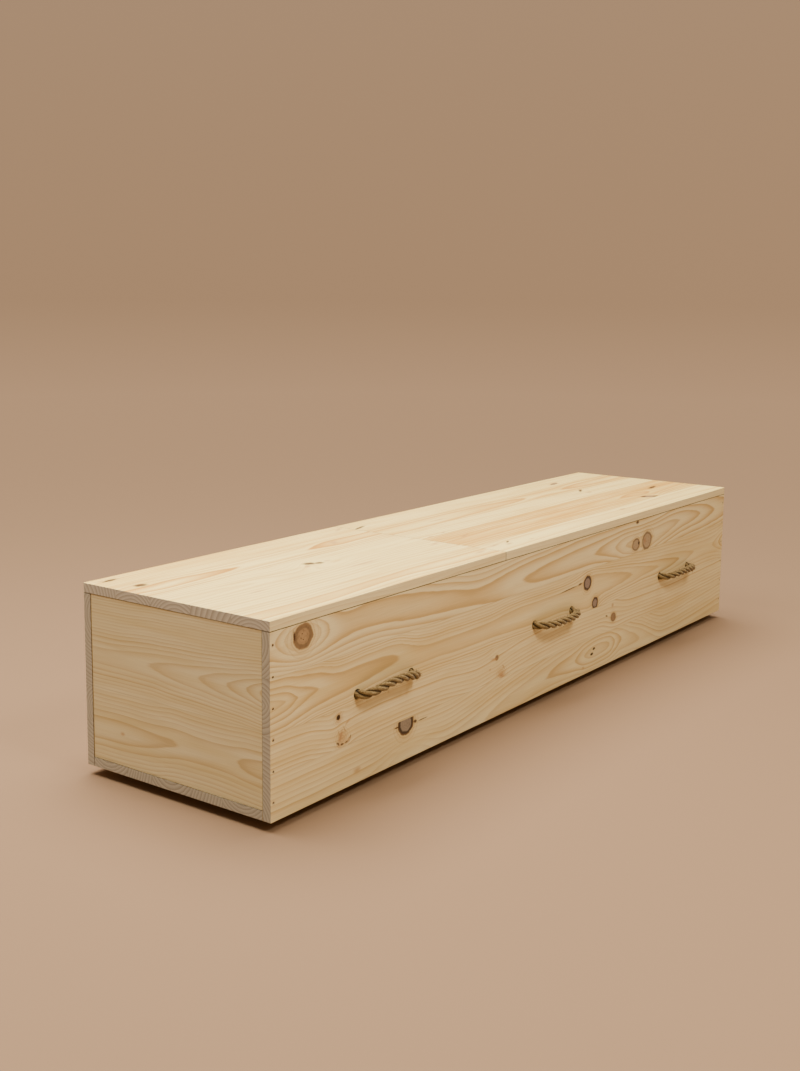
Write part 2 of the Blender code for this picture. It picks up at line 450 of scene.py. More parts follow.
def crown_of(mesh, route):
    """Writes how far each point stands out from the rope's middle: 0 between strands, 1 outside."""
    points = np.array([list(p) for p in route])
    places = np.empty(len(mesh.vertices) * 3)
    mesh.vertices.foreach_get("co", places)
    places = places.reshape(-1, 3)
    closest = np.full(len(places), 1e9)
    for a, b in zip(points[:-1], points[1:]):
        step = b - a
        share = np.clip((places - a) @ step / (step @ step), 0, 1)
        closest = np.minimum(closest, np.linalg.norm(places - a - share[:, None] * step, axis=1))
    layer = mesh.attributes.new("crown", "FLOAT", "POINT")
    layer.data.foreach_set("value", (closest / (OVER_STRANDS / 2)).astype(np.float32))


def make_handles():
    """The six rope handles, each with its strands, its loose fibres and its two knots."""
    rope_tree, loose_tree = laid_rope_tree(), fuzz_tree()
    rope_finish, loose_finish = hemp(), loose_hemp()
    sizes = {
        "Strand Radius": STRAND_RADIUS, "Strand Out": STRAND_OUT, "Lay Length": LAY_LENGTH,
        "Step": ROPE_STEP, "Yarns": YARNS, "Material": rope_finish,
    }
    for side, outward in (("near", -1), ("far", 1)):
        for number, (centre, sag) in enumerate(zip(HANDLE_CENTRES, HANDLE_SAGS[side]), start=1):
            node_name = f"rope_handle_{side}_{number}"
            route = handle_route(outward, centre, sag)
            mesh = grown(node_name + "_strands", line_mesh("path", route), rope_tree,
                         {**sizes, "Start Turn": HANDLE_TURN * number + outward})
            crown_of(mesh, route)
            fuzz = grown(node_name + "_fibres", mesh.copy(), loose_tree, {
                "Density": LOOSE_DENSITY, "Fibre Length": LOOSE_LENGTH,
                "Fibre Radius": LOOSE_RADIUS,
                "Seed": number + 3 * (outward + 1), "Material": loose_finish,
            })
            pieces = [put(node_name + "_fibres", fuzz)]
            for end, x in (("a", route[0].x), ("b", route[-1].x)):
                knot_path = knot_route(outward, x)
                knot = grown(node_name + "_knot_" + end, line_mesh("path", knot_path), rope_tree,
                             {**sizes, "Step": KNOT_STEP, "Start Turn": KNOT_TURN * number})
                crown_of(knot, knot_path)
                pieces.append(put(node_name + "_knot_" + end, knot))
            rope = put(node_name + "_strands", mesh)
            for piece in [rope] + pieces:
                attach(piece, "root")
                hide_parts(node_name)


make_handles()

# Wood figure. Each stave of a glued-up board is a plank of one log. Distances are millimetres on
# the board's show face: along the grain, then across from the board's first edge.
#   edge    where the stave ends
#   tone    how much warmer than usual the stave is, or paler below nought
#   rings   radius of each growth ring about the pith, and how deeply its late wood is coloured
#   pith    where the log's pith runs: along, across, and how far behind the face
#   swells  along, across, reach along, reach across, and how much the rings swell there
#   marks   along, across, half length, half width, turn in degrees, kind, and how strongly the
#           fibres flow round it
#   point   along, and how pointed the rings' tips are there
#   fine    along, across, half length, half width of a place with smaller faces


def plank(edge, tone, rings, pith, swells=(), point=((0, 0),), fine=(), marks=()):
    """The plank that makes one stave. What it has none of can be left out."""
    return dict(
        edge=edge, tone=tone, rings=rings, pith=pith, swells=swells, point=point, fine=fine,
        marks=list(marks),
    )


def even_rings(first, step, depths):
    """Growth rings of one width, from the first one's radius outwards."""
    return [(first + step * k, depth) for k, depth in enumerate(depths)]


# Knots: colour, strength, rim darkness, rim share, softness of the outline

KNOT_KINDS = {
    "sound": ("AA8A64", 0.94, 0.48, 0.55, 0.10),
    "ringed": ("928278", 0.97, 0.84, 0.46, 0.06),
    "halved": ("948777", 0.97, 0.94, 0.42, 0.06),
    "twin": ("A9937A", 0.84, 0.70, 0.34, 0.12),
    "amber": ("8F7457", 0.92, 0.40, 0.26, 0.14),
    "halo": ("B87C42", 0.42, 0.00, 0.20, 0.85),
}

# Small spots, stains and the streaks of knots cut lengthwise: colour, strength, softness

SPOT_KINDS = {
    "pin": ("2E180A", 0.97, 0.35),
    "smear": ("A87850", 0.62, 0.90),
    "streak": ("452412", 0.92, 0.60),
    "stain": ("BC8E5C", 0.62, 0.95),
}

SIDE_NEAR = [
    plank(
        edge=88, tone=-0.5,
        rings=[(30, .5), (37, .6), (44, .7), (51, .8), (58, .9), (70, .9), (77, .6), (84, .5), (91, .5)],
        pith=[(-60, 20, 66), (60, 24, 66), (200, 28, 66), (300, 25, 65.4), (450, 37, 64.6),
              (560, 50, 66), (675, 61, 67.8), (760, 62, 65), (888, 60, 58), (1060, 56, 54),
              (1232, 51, 51), (1342, 55, 44), (1400, 58, 37), (1500, 60, 33), (1570, 56, 37),
              (1737, 36, 44), (1877, 36, 51), (1975, 35, 58), (2110, 35, 68)],
        swells=[(92, 30, 50, 33, -26)],
        point=[(1000, 0), (1400, 12), (2000, 12)],
        marks=[(92, 27, 29, 26, 0, "sound", 0), (89, 21, 1.6, 1.3, 0, "pin", 0),
               (86, 29, 1.2, 1.4, 0, "pin", 0), (93, 33, 1.3, 1.1, 0, "pin", 0),
               (67, 22, 3.5, 11, -8, "streak", 0), (1467, 5, 10, 5, 0, "streak", .2),
               (1462, 65, 23, 18, 0, "twin", 0), (1479, 63, 5.5, 5, 0, "pin", 0),
               (1528, 63, 30, 26, 0, "twin", 0), (1515, 62, 8, 9, 0, "smear", 0),
               (8, 26, 4, 4, 0, "stain", 0)],
    ),
    plank(
        edge=195, tone=0.28,
        rings=[(20, .4), (27, .6), (34, .6), (41, .7), (48, .8), (60, 1.0), (67, .7), (70.5, .6),
               (73.5, .8), (76.5, .6), (80.5, .6), (85, .5)],
        pith=[(-40, 138, 25), (0, 139, 29), (45, 139, 34), (78, 139, 41), (134, 137, 48),
              (200, 142, 54), (300, 139, 57.4), (392, 136, 60.2), (470, 146, 64), (600, 149, 64.5),
              (750, 149, 64), (850, 148, 62), (1100, 148, 62), (1200, 146, 61), (1300, 140, 62),
              (1452, 143, 67), (1520, 146, 69), (1600, 150, 70.3), (1750, 147, 73.6),
              (1860, 144, 77), (1981, 142, 76.4), (2060, 142, 70)],
        point=[(0, 26), (180, 26), (330, 0), (1000, 0), (1350, 14), (1800, 14), (1900, 0)],
        fine=[(75, 140, 90, 30)],
        marks=[(1195, 123, 21, 20, 0, "ringed", .5), (1238, 182, 16.5, 16, 0, "ringed", .5),
               (1156, 119, 11, 3, -6, "streak", 0), (1100, 122, 50, 1.6, -3, "streak", 0),
               (8, 143, 3, 3, 0, "stain", 0)],
    ),
    plank(
        edge=273, tone=0.0,
        rings=even_rings(100, 8.5, [
            .4, .7, .3, .6, .3, .5, .7, .3, .6, .4, .3, .8, .4, .3, .6, .4, .7, .3, .4, .6,
            .4, .8, .4, .3, .7, .4, .6, .3, .7, .4, .4, .7, .3, .6,
        ]),
        pith=[(-40, 396, 60), (100, 398, 60), (190, 412, 60), (260, 404, 60), (400, 398, 60),
              (560, 402, 60), (700, 412, 60), (900, 386, 60), (1080, 376, 60), (1250, 378, 60),
              (1400, 392, 60), (1700, 396, 60), (2060, 386, 60)],
        marks=[(196, 210, 6, 6, 0, "pin", .4), (203, 250, 5, 16, 22, "smear", .3),
               (200, 267, 9, 3, 0, "smear", 0), (229, 264, 9, 4, -40, "smear", .3),
               (196, 264, 7, 3, 40, "streak", 0), (207, 267, 6, 2.6, 0, "streak", 0),
               (222, 266, 6, 2, -20, "streak", 0), (233, 259, 5, 2, -60, "streak", 0),
               (198, 243, 8, 2, 70, "smear", 0), (215, 238, 10, 2, 60, "smear", 0),
               (225, 226, 12, 3, -35, "stain", 0), (742, 243, 5, 3, 0, "stain", 0),
               (197, 211, 11, 12, 0, "halo", 0), (208, 256, 17, 15, 20, "halo", 0),
               (790, 263, 18, 12, 10, "halo", 0),
               (770, 221, 7, 6.5, 0, "amber", .4), (757, 222, 16, 4, 10, "stain", 0),
               (792, 268, 13, 5, 12, "smear", .3), (799, 248, 8, 2.5, 45, "smear", 0),
               (1305, 230, 7, 2.5, 15, "streak", 0), (1337, 207, 7, 6, 0, "smear", .3),
               (1343, 240, 15, 12.5, 15, "amber", .5), (8, 202, 4, 4, 0, "stain", 0)],
    ),
    plank(
        edge=360, tone=0.1,
        rings=[(33, .5), (40, .7), (47, .7), (55, .5), (62, .5), (69, .7), (75, .5), (82, .7),
               (90, .6), (98, .5)],
        pith=[(-40, 372, 62), (250, 368, 62), (420, 372, 62), (560, 372, 60), (700, 358, 56),
              (850, 338, 51), (1005, 321, 47), (1142, 315, 40), (1192, 313, 33), (1250, 311, 29),
              (1325, 310, 33), (1355, 310, 40), (1392, 309, 47), (1500, 330, 55), (1650, 372, 60),
              (2060, 350, 60)],
        swells=[(428, 345, 62, 40, -20)],
        marks=[(419, 281, 28, 27, 0, "halved", .2), (387, 283, 9, 2, 0, "streak", 0),
               (452, 286, 7, 4, 10, "streak", 0), (478, 288, 20, 1.3, 0, "streak", 0),
               (255, 334, 13, 7, 0, "stain", 0), (1229, 315, 8, 4, 0, "pin", 0),
               (1240, 303, 7, 4, 0, "pin", 0), (1185, 342, 8, 4, 15, "stain", 0),
               (8, 323, 4, 4, 0, "stain", 0)],
    ),
]

END_HEAD = [
    plank(
        edge=190, tone=0.1,
        rings=[(33, .6), (36, .6), (39.5, .7), (43, .7), (47, .7), (52, .7), (57, 1.0), (62.1, .8),
               (66.6, 1.0), (72, .9), (76.8, .6), (81.5, .35), (86, .35), (91, .3), (96, .45)],
        pith=[(-20, 122, 60), (60, 121, 59.5), (170, 118, 57), (210, 119, 55.5), (300, 119, 52),
              (374, 119, 47), (422, 118, 43), (454, 118, 39.5), (500, 118, 34)],
    ),
    plank(
        edge=360, tone=0.25,
        rings=[(45, .4), (51, .4), (57.3, .8), (64.7, .8), (70.8, .6), (76, .5), (83, .6), (89, .5),
               (95, .4), (102, .5)],
        pith=[(-20, 274, 52), (100, 273, 53), (170, 270, 55.5), (232, 262, 57.3), (300, 262, 59.5),
              (380, 262, 58.5), (420, 262, 56), (500, 264, 53)],
        marks=[(85, 274, 7, 4, 0, "stain", 0)],
    ),
]

LID_HEAD = [
    plank(
        edge=96, tone=0.1,
        rings=even_rings(60, 9, [
            .4, .6, .3, .5, .4, .6, .3, .5, .4, .5, .3, .6, .4, .3, .5, .4, .5, .3, .4, .5,
        ]),
        pith=[(-40, -60, 50), (300, -66, 50), (600, -58, 50), (820, -70, 50)],
        marks=[(45, 27, 23, 8, -4, "streak", .3), (25, 22, 12, 5, 0, "stain", 0),
               (772, 34, 24, 6, -22, "stain", 0)],
    ),
    plank(
        edge=192, tone=-0.1,
        rings=[(40, .4), (47, .6), (54, .6), (62, .9), (69, .6), (76, .7), (84, .5), (92, .4)],
        pith=[(-40, 138, 60), (100, 140, 57), (220, 141, 60), (320, 142, 62.5), (500, 138, 63),
              (640, 130, 59), (820, 126, 58)],
        marks=[(54, 107, 17, 13, 0, "streak", .5), (640, 126, 16, 12, -30, "stain", .3),
               (627, 140, 12, 5, -35, "stain", 0)],
    ),
    plank(
        edge=300, tone=-0.55,
        rings=[(50, .3), (58, .4), (66, .4), (72, .35), (78, .3), (85, .4), (93, .3), (101, .3)],
        pith=[(-40, 262, 62), (200, 268, 66), (360, 290, 70), (500, 262, 62), (600, 250, 60),
              (820, 246, 58)],
        swells=[(430, 240, 50, 30, -12)],
        marks=[(422, 236, 17, 13, 25, "streak", .5), (441, 247, 13, 9, 10, "streak", 0),
               (400, 250, 14, 6, -30, "stain", 0), (470, 246, 12, 6, 0, "stain", 0)],
    ),
    plank(
        edge=405, tone=-0.45,
        rings=even_rings(110, 13, [.3, .4, .25, .35, .3, .4, .3, .25, .3, .35]),
        pith=[(-40, 468, 60), (300, 478, 60), (560, 470, 60), (820, 480, 60)],
        marks=[(160, 326, 28, 5, 0, "stain", 0), (500, 326, 60, 7, 0, "stain", 0),
               (775, 320, 22, 6, -10, "stain", 0)],
    ),
    plank(
        edge=500, tone=-0.2,
        rings=[(50, .4), (57, .5), (64, .6), (71, .5), (79, .4), (88, .5), (97, .4)],
        pith=[(-40, 458, 60), (200, 462, 61), (420, 452, 62), (600, 456, 60), (820, 462, 60)],
        marks=[(760, 456, 26, 6, -6, "stain", 0)],
    ),
]

LID_FOOT = [
    plank(
        edge=92, tone=-0.15,
        rings=even_rings(60, 10, [.3, .45, .3, .4, .3, .5, .3, .4, .35, .3, .45, .3]),
        pith=[(-40, -50, 50), (400, -58, 50), (800, -48, 50), (1300, -60, 50)],
        marks=[(25, 58, 34, 5.5, -14, "streak", .3), (979, 64, 25, 8, -12, "amber", .4)],
    ),
    plank(
        edge=180, tone=0.35,
        rings=[(40, .5), (48, .7), (56, .9), (66, .9), (74, .6), (82, .5), (90, .4)],
        pith=[(-40, 146, 58), (200, 144, 57), (420, 138, 60), (620, 136, 64), (780, 138, 69),
              (900, 140, 66), (1020, 138, 62), (1300, 136, 60)],
        marks=[(240, 146, 40, 5, 0, "stain", 0), (912, 188, 26, 5, -28, "streak", .3)],
    ),
    plank(
        edge=265, tone=-0.35,
        rings=even_rings(90, 11, [.3, .4, .3, .35, .3, .4, .3, .35, .3, .4]),
        pith=[(-40, 330, 60), (400, 336, 60), (900, 328, 60), (1300, 334, 60)],
        marks=[(38, 264, 14, 6, -10, "smear", .3), (104, 255, 12, 3.5, -15, "smear", 0),
               (912, 192, 26, 5.5, -28, "streak", .3), (902, 226, 15, 8, -10, "smear", .4)],
    ),
    plank(
        edge=415, tone=0.75,
        rings=[(30, .6), (38, .7), (46, .9), (55, 1.0), (62, .9), (70, 1.0), (79, .8), (88, .9), (97, .8)],
        pith=[(-40, 352, 52), (100, 346, 50), (300, 342, 49), (600, 344, 50), (850, 346, 47),
              (960, 350, 44), (1060, 352, 48), (1300, 350, 52)],
        swells=[(945, 398, 60, 24, -10)],
        marks=[(104, 318, 26, 5, -12, "smear", .3), (1110, 328, 36, 8, -10, "streak", .4),
               (944, 398, 30, 14, 28, "amber", .3), (930, 388, 16, 5, -8, "streak", 0),
               (962, 410, 14, 6, 0, "streak", 0)],
    ),
    plank(
        edge=500, tone=-0.6,
        rings=[(50, .3), (58, .4), (66, .4), (74, .35), (83, .3), (92, .4), (101, .3)],
        pith=[(-40, 462, 60), (300, 452, 60), (700, 458, 63), (1000, 452, 62), (1300, 456, 60)],
        marks=[(45, 440, 24, 4, -8, "smear", 0), (104, 439, 14, 3.5, -25, "streak", .3),
               (86, 455, 15, 6, -5, "smear", 0), (696, 439, 16, 7, -10, "smear", .4),
               (172, 465, 12, 4, 0, "stain", 0)],
    ),
]

# Working out the figure, in mm

# The fibres' own wave: how far it swings, its length along the board, how it differs from stave
# to stave, and its length across the board
FIBRE_WAVES = ((0.9, 97, 2.1, None), (0.6, 41, 5.3, 60), (0.25, 17, 3.7, 25))
# How far round a mark the fibres bend: a share of its half size, and a bit more
BEND_SHARE = 2.2
BEND_MORE = (4, 3)
# How much of a ring's colour a swelling takes away
SWELL_CALM = 0.85
# Rings inside the first and outside the last that a stave names, and how deeply they are coloured
RINGS_INSIDE = [0.5, 0.7, 0.4] * 4
RINGS_OUTSIDE = [0.4, 0.6, 0.5, 0.35, 0.55]
OUTSIDE_COUNT = 79


def smooth(points, at, column):
    """A smooth curve through a list of points, read at many places along the board."""
    x = np.array([p[0] for p in points], float)
    y = np.array([p[column] for p in points], float)
    slope = np.gradient(y, x)
    slope[1:-1] = (y[2:] - y[:-2]) / (x[2:] - x[:-2])
    at = np.clip(at, x[0], x[-1])
    k = np.clip(np.searchsorted(x, at) - 1, 0, len(x) - 2)
    span = x[k + 1] - x[k]
    s = (at - x[k]) / span
    return (
        (2 * s**3 - 3 * s**2 + 1) * y[k]
        + (s**3 - 2 * s**2 + s) * span * slope[k]
        + (-2 * s**3 + 3 * s**2) * y[k + 1]
        + (s**3 - s**2) * span * slope[k + 1]
    )


def nearness(along, across, x, y, reach_x, reach_y):
    """1 at a place on the board, and fading out all round it."""
    return np.exp(-(((along - x) / reach_x) ** 2 + ((across - y) / reach_y) ** 2) / 2)


def rings_at(stave, seed, along, across, depth):
    """Which growth ring each point lies in, how deeply that ring is coloured, and the place
    across the board with the fibres' flow around knots taken up."""
    wave = 0
    for swing, long, differ, wide in FIBRE_WAVES:
        phase = along / long + seed * differ
        if wide:
            phase = phase + across / wide
        wave = wave + swing * np.sin(phase)
    moved = across + wave
    for x, y, half_long, half_wide, _, _, flow in stave["marks"]:
        near = nearness(
            along, across, x, y,
            half_long * BEND_SHARE + BEND_MORE[0], half_wide * BEND_SHARE + BEND_MORE[1],
        )
        moved = moved - (across - y) * flow * near
    sideways = np.abs(moved - smooth(stave["pith"], along, 1))
    point = np.interp(along, *np.array(stave["point"], float).T)
    radius = np.sqrt(
        sideways * np.hypot(sideways, point) + (smooth(stave["pith"], along, 2) - depth) ** 2
    )
    calm = np.ones(len(radius))
    for x, y, reach_x, reach_y, amount in stave["swells"]:
        near = nearness(along, across, x, y, reach_x, reach_y)
        radius = radius + amount * near
        calm = calm - SWELL_CALM * near
    radii = np.array([ring[0] for ring in stave["rings"]], float)
    depths = np.array([ring[1] for ring in stave["rings"]], float)
    inner, outer = radii[1] - radii[0], radii[-1] - radii[-2]
    radii = np.concatenate([
        radii[0] - inner * np.arange(len(RINGS_INSIDE), 0, -1), radii,
        radii[-1] + outer * np.arange(1, OUTSIDE_COUNT + 1),
    ])
    depths = np.concatenate([RINGS_INSIDE, depths, np.resize(RINGS_OUTSIDE, OUTSIDE_COUNT)])
    count = np.interp(radius, radii, np.arange(len(radii)))
    return count, np.interp(radius, radii, depths) * calm, moved


# Staves for the faces that don't show, in mm, and the ranges that they are drawn from

PITH_STEP = 190
PITH_BEYOND = (60, 260)
FLAT_SAWN_DEPTH = 56
QUARTER_SAWN_DEPTH = 60
DEPTH_SWING = 10
SWING_LENGTHS = (260, 480)
STAVE_WIDTHS = (0.8, 1.2)
PITH_AWAY = (90, 160)
PITH_WANDER = (-9, 9)
RING_COUNT = 34
FIRST_RING = 24
RING_WIDTHS = (5, 10)
RING_DEPTHS = (0.3, 0.8)
TONES = (-0.4, 0.5)
INVENTED_KINDS = ("sound", "amber", "ringed", "smear")
MARK_SIZES = (5, 17)
MARK_ROUNDNESS = (0.7, 0.95)
MARK_TURNS = (-15, 15)
MARK_FLOW = 0.45
MARK_FROM_END = 60
MARK_FROM_EDGES = (18, 14)


def invent_staves(rng, width, length, count, knots):
    """Staves for a face that the photograph doesn't show: plainer figure of the same kind."""
    edges = np.cumsum(rng.uniform(*STAVE_WIDTHS, count))
    edges = edges / edges[-1] * width
    staves = []
    start = 0.0
    for number, edge in enumerate(edges):
        flat_sawn = number % 2 == 0
        middle = (start + edge) / 2
        away = 0.0 if flat_sawn else rng.choice([-1, 1]) * rng.uniform(*PITH_AWAY)
        steps = np.arange(-PITH_BEYOND[0], length + PITH_BEYOND[1], PITH_STEP)
        wave = np.sin(steps / rng.uniform(*SWING_LENGTHS) + rng.uniform(0, 6))
        depth = FLAT_SAWN_DEPTH + DEPTH_SWING * wave
        pith = [
            (float(x), float(middle + away + rng.uniform(*PITH_WANDER)),
             float(q if flat_sawn else QUARTER_SAWN_DEPTH))
            for x, q in zip(steps, depth)
        ]
        radii = FIRST_RING + np.cumsum(rng.uniform(*RING_WIDTHS, RING_COUNT))
        depths = rng.uniform(*RING_DEPTHS, RING_COUNT)
        rings = [(float(r), float(s)) for r, s in zip(radii, depths)]
        staves.append(plank(float(edge), float(rng.uniform(*TONES)), rings, pith))
        start = edge
    for _ in range(knots):
        home = staves[rng.integers(count)]
        low = home["edge"] - width / count + MARK_FROM_EDGES[0]
        high = home["edge"] - MARK_FROM_EDGES[1]
        size = rng.uniform(*MARK_SIZES)
        kind = INVENTED_KINDS[rng.integers(len(INVENTED_KINDS))]
        x = rng.uniform(MARK_FROM_END, length - MARK_FROM_END)
        y = rng.uniform(low, high)
        half_wide = size * rng.uniform(*MARK_ROUNDNESS)
        angle = rng.uniform(*MARK_TURNS)
        home["marks"].append((
            float(x), float(y), float(size), float(half_wide), float(angle), kind, MARK_FLOW,
        ))
    return staves


# Boards as meshes

EASED = 0.8 * MM
ROPE_HOLE = 22.0 * MM
HOLE_SIDES = 48
NAIL_HOLE = 5.0 * MM
NAIL_DEPTH = 1.5 * MM
NAIL_SIDES = 20
NAIL_FROM_END = 0.008
NAIL_X = BOX_LENGTH / 2 - NAIL_FROM_END
LOWEST_NAIL = 0.057
NAIL_PITCH = 0.0595
NAILS_IN_CORNER = 6
NAIL_HEIGHTS = [LOWEST_NAIL + NAIL_PITCH * k for k in range(NAILS_IN_CORNER)]

# Faces, in mm: through the whole board, on the faces that show, over the edges' thickness, and
# the longest side that is left near a knot
CORE_CELL = 24.0
SKIN_CELL = 6.0
EDGE_CELL = 4.0
KNOT_CELL = 3.2
# Faces within this of the back stay coarse
BACK_SKIN = 1.5
# How near a point is to a cut to lie on it, and to another point to be one with it, in metres
CUT_NEAR = 1e-6
POINTS_NEAR = 2e-6
# How far round a knot the faces are halved: a share of its half size, and a bit more
FINE_SHARE = 2.2
FINE_MORE = 8

# Which way into the board goes, along the box's own axis
INTO_SIGN = {
    "side_near": 1, "side_far": -1, "end_head": 1, "end_foot": -1, "lid_head": -1, "lid_foot": -1,
    "bottom_panel": 1, "runner_head": 1, "runner_middle": 1, "runner_foot": 1,
}

# How squarely a face looks along a direction for it to count: as a face of the show side for
# smaller faces, as an end, as any other face, and as one that isn't an eased edge
SQUARE_SHOW = 0.9
SQUARE_END = 0.7
SQUARE_FACE = 0.5
SQUARE_FLAT = 0.97
# How near a board's edge an eased edge lies, in mm
EDGE_NEAR = 1.0

# Values of the glue distance that stand for a shadowed seam
DARK_SEAM = -3.0
FAINT_SEAM = -2.2
# Glue distance where there is no joint, in mm, and knot distance where there is no knot
NO_JOINT = 50.0
NO_KNOT = 90.0
# How far apart two staves lie in the grain's noise, in mm
GRAIN_SHIFT = 700
# How far apart two boards' numbers for the rings' chance are
SEEDS_APART = 7
# How far from a knot's outline faces still belong to it, in mm
KNOT_REACH = 24.0
# Figure and tone of a board's long edges, against its faces
EDGE_FACE_FIGURE = 0.45
EDGE_FACE_TONE = -0.35


def bored(name, form, outer_y):
    """The side board with its rope holes bored and its nails sunk, cut by a Boolean."""
    mesh = bpy.data.meshes.new(name)
    form.to_mesh(mesh)
    form.free()
    body = put(name, mesh)
    cutter_form = bmesh.new()
    along_y = Matrix.Rotation(math.pi / 2, 4, "X")
    holes = [(c + e * HANDLE_SPAN / 2, HANDLE_Z) for c in HANDLE_CENTRES for e in (-1, 1)]
    nails = [(e * NAIL_X, z) for e in (-1, 1) for z in NAIL_HEIGHTS]
    for places, width, depth, sides in (
        (holes, ROPE_HOLE, 4 * SIDE_BOARD, HOLE_SIDES),
        (nails, NAIL_HOLE, 2 * NAIL_DEPTH, NAIL_SIDES),
    ):
        for x, z in places:
            bmesh.ops.create_cone(
                cutter_form, cap_ends=True, segments=sides, radius1=width / 2, radius2=width / 2,
                depth=depth, matrix=Matrix.Translation((x, outer_y, z)) @ along_y,
            )
    cutter_mesh = bpy.data.meshes.new(name + "_cutter")
    cutter_form.to_mesh(cutter_mesh)
    cutter_form.free()
    cutter = put(name + "_cutter", cutter_mesh)
    cut = body.modifiers.new("bore", "BOOLEAN")
    cut.operation = "DIFFERENCE"
    cut.solver = "EXACT"
    cut.object = cutter
    cut_mesh = settled(name, body)
    bpy.data.objects.remove(cutter, do_unlink=True)
    out = bmesh.new()
    out.from_mesh(cut_mesh)
    return out


def slice_form(form, faces, normal, places, start):
    """Cuts the given faces by planes across one direction, at places in mm from the start."""
    geometry = set(faces)
    for face in faces:
        geometry.update(face.edges)
        geometry.update(face.verts)
    for place in places:
        cut = bmesh.ops.bisect_plane(
            form, geom=list(geometry), dist=CUT_NEAR,
            plane_co=start + normal * (place * MM), plane_no=normal,
        )
        geometry.update(cut["geom"])


def before_back(form, start, into, depth):
    """The faces of a board without those of its back."""
    limit = depth - BACK_SKIN
    return [f for f in form.faces if (f.calc_center_median() - start).dot(into) / MM < limit]


def halve_near_knots(form, staves, axes, start):
    """Halves the faces of the show side near each knot, so that rings bend smoothly round it."""
    spots = []
    for stave in staves:
        for x, y, half_long, half_wide, _, kind, _ in stave["marks"]:
            if kind in KNOT_KINDS:
                reach = half_long * FINE_SHARE + FINE_MORE, half_wide * FINE_SHARE + FINE_MORE
                spots.append((x, y, *reach))
        spots += stave["fine"]
    if not spots:
        return
    along, across, into = axes
    chosen = set()
    for face in form.faces:
        if face.normal.dot(into) > -SQUARE_SHOW:
            continue
        centre = face.calc_center_median() - start
        u, v = centre.dot(along) / MM, centre.dot(across) / MM
        if any(abs(u - x) < rx and abs(v - y) < ry for x, y, rx, ry in spots):
            chosen.update(e for e in face.edges if e.calc_length() > KNOT_CELL * MM)
    bmesh.ops.subdivide_edges(form, edges=list(chosen), cuts=1, use_grid_fill=True)


def figured_board(
    name, along, across, staves, material, seed, seams=(), seam=DARK_SEAM, holes=False,
    skin_cell=SKIN_CELL, edge_material=None,
):
    """One glued-up board in the CAD node's box, cut into small faces that carry its figure."""
    low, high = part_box(name)
    along, across = Vector(along), Vector(across)
    into = Vector([1.0 if axis == 0 else 0.0 for axis in map(abs, along + across)])
    into = into * INTO_SIGN[name]
    axes = (along, across, into)
    start = Vector([low[k] if sum(a[k] for a in axes) > 0 else high[k] for k in range(3)])
    size = high - low
    length, width, depth = [abs(size.dot(a)) / MM for a in axes]

    form = bmesh.new()
    bmesh.ops.create_cube(form, size=1.0)
    bmesh.ops.scale(form, vec=size, verts=form.verts)
    bmesh.ops.bevel(
        form, geom=list(form.edges), offset=EASED, segments=2, profile=0.5, affect="EDGES"
    )
    bmesh.ops.translate(form, vec=(low + high) / 2, verts=form.verts)
    if holes:
        form = bored(name + "_cut", form, start.y)

    glue_lines = {stave["edge"] for stave in staves[:-1]}
    rows = sorted(glue_lines | set(np.arange(CORE_CELL, width, CORE_CELL)))
    slice_form(form, form.faces, along, np.arange(CORE_CELL, length, CORE_CELL), start)
    slice_form(form, form.faces, across, rows, start)
    for direction, reach in ((along, length), (across, width)):
        skin = before_back(form, start, into, depth)
        slice_form(form, skin, direction, np.arange(skin_cell, reach, skin_cell), start)
    edge_faces = [f for f in form.faces if abs(f.normal.dot(into)) < SQUARE_FACE]
    slice_form(form, edge_faces, into, np.arange(EDGE_CELL, depth, EDGE_CELL), start)
    halve_near_knots(form, staves, axes, start)
    bmesh.ops.remove_doubles(form, verts=form.verts, dist=POINTS_NEAR)

    mesh = bpy.data.meshes.new(name + "_board")
    form.to_mesh(mesh)
    form.free()
    mark_figure(mesh, staves, axes, start, seed, seams, seam)
    board = put(name + "_board", mesh, material)
    # Faces across the board take the edge material: the lid's top keeps the lit copy of the pine, with
    # painted light, and its edges the sides' pine
    if edge_material is not None:
        mesh.materials.append(edge_material)
        for face in mesh.polygons:
            face.material_index = int(abs(face.normal.dot(across)) > SQUARE_FACE)
    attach(board, "root")
    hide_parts(name)
    return board


def turned(u, v, degrees):
    """A place in the axes of a mark that is turned on the board."""
    angle = math.radians(degrees)
    return u * math.cos(angle) + v * math.sin(angle), v * math.cos(angle) - u * math.sin(angle)


def read(items, name, width, kind=float):
    """One property of all a mesh's vertices, corners or faces, as rows of an array."""
    values = np.empty(len(items) * width, kind)
    items.foreach_get(name, values)
    return values.reshape(-1, width)


def nearest_marks(marks, centres, shown):
    """Which mark's outline each shown face is nearest to, or -1 where none is near."""
    nearest = np.full(len(shown), KNOT_REACH)
    mark_of_face = np.full(len(centres), -1)
    for index, (x, y, half_long, half_wide, angle, *_) in enumerate(marks):
        u, v = turned(centres[shown, 0] - x, centres[shown, 1] - y, angle)
        distance = (np.hypot(u / half_long, v / half_wide) - 1) * min(half_long, half_wide)
        better = distance < nearest
        nearest[better] = distance[better]
        mark_of_face[shown[better]] = index
    return mark_of_face


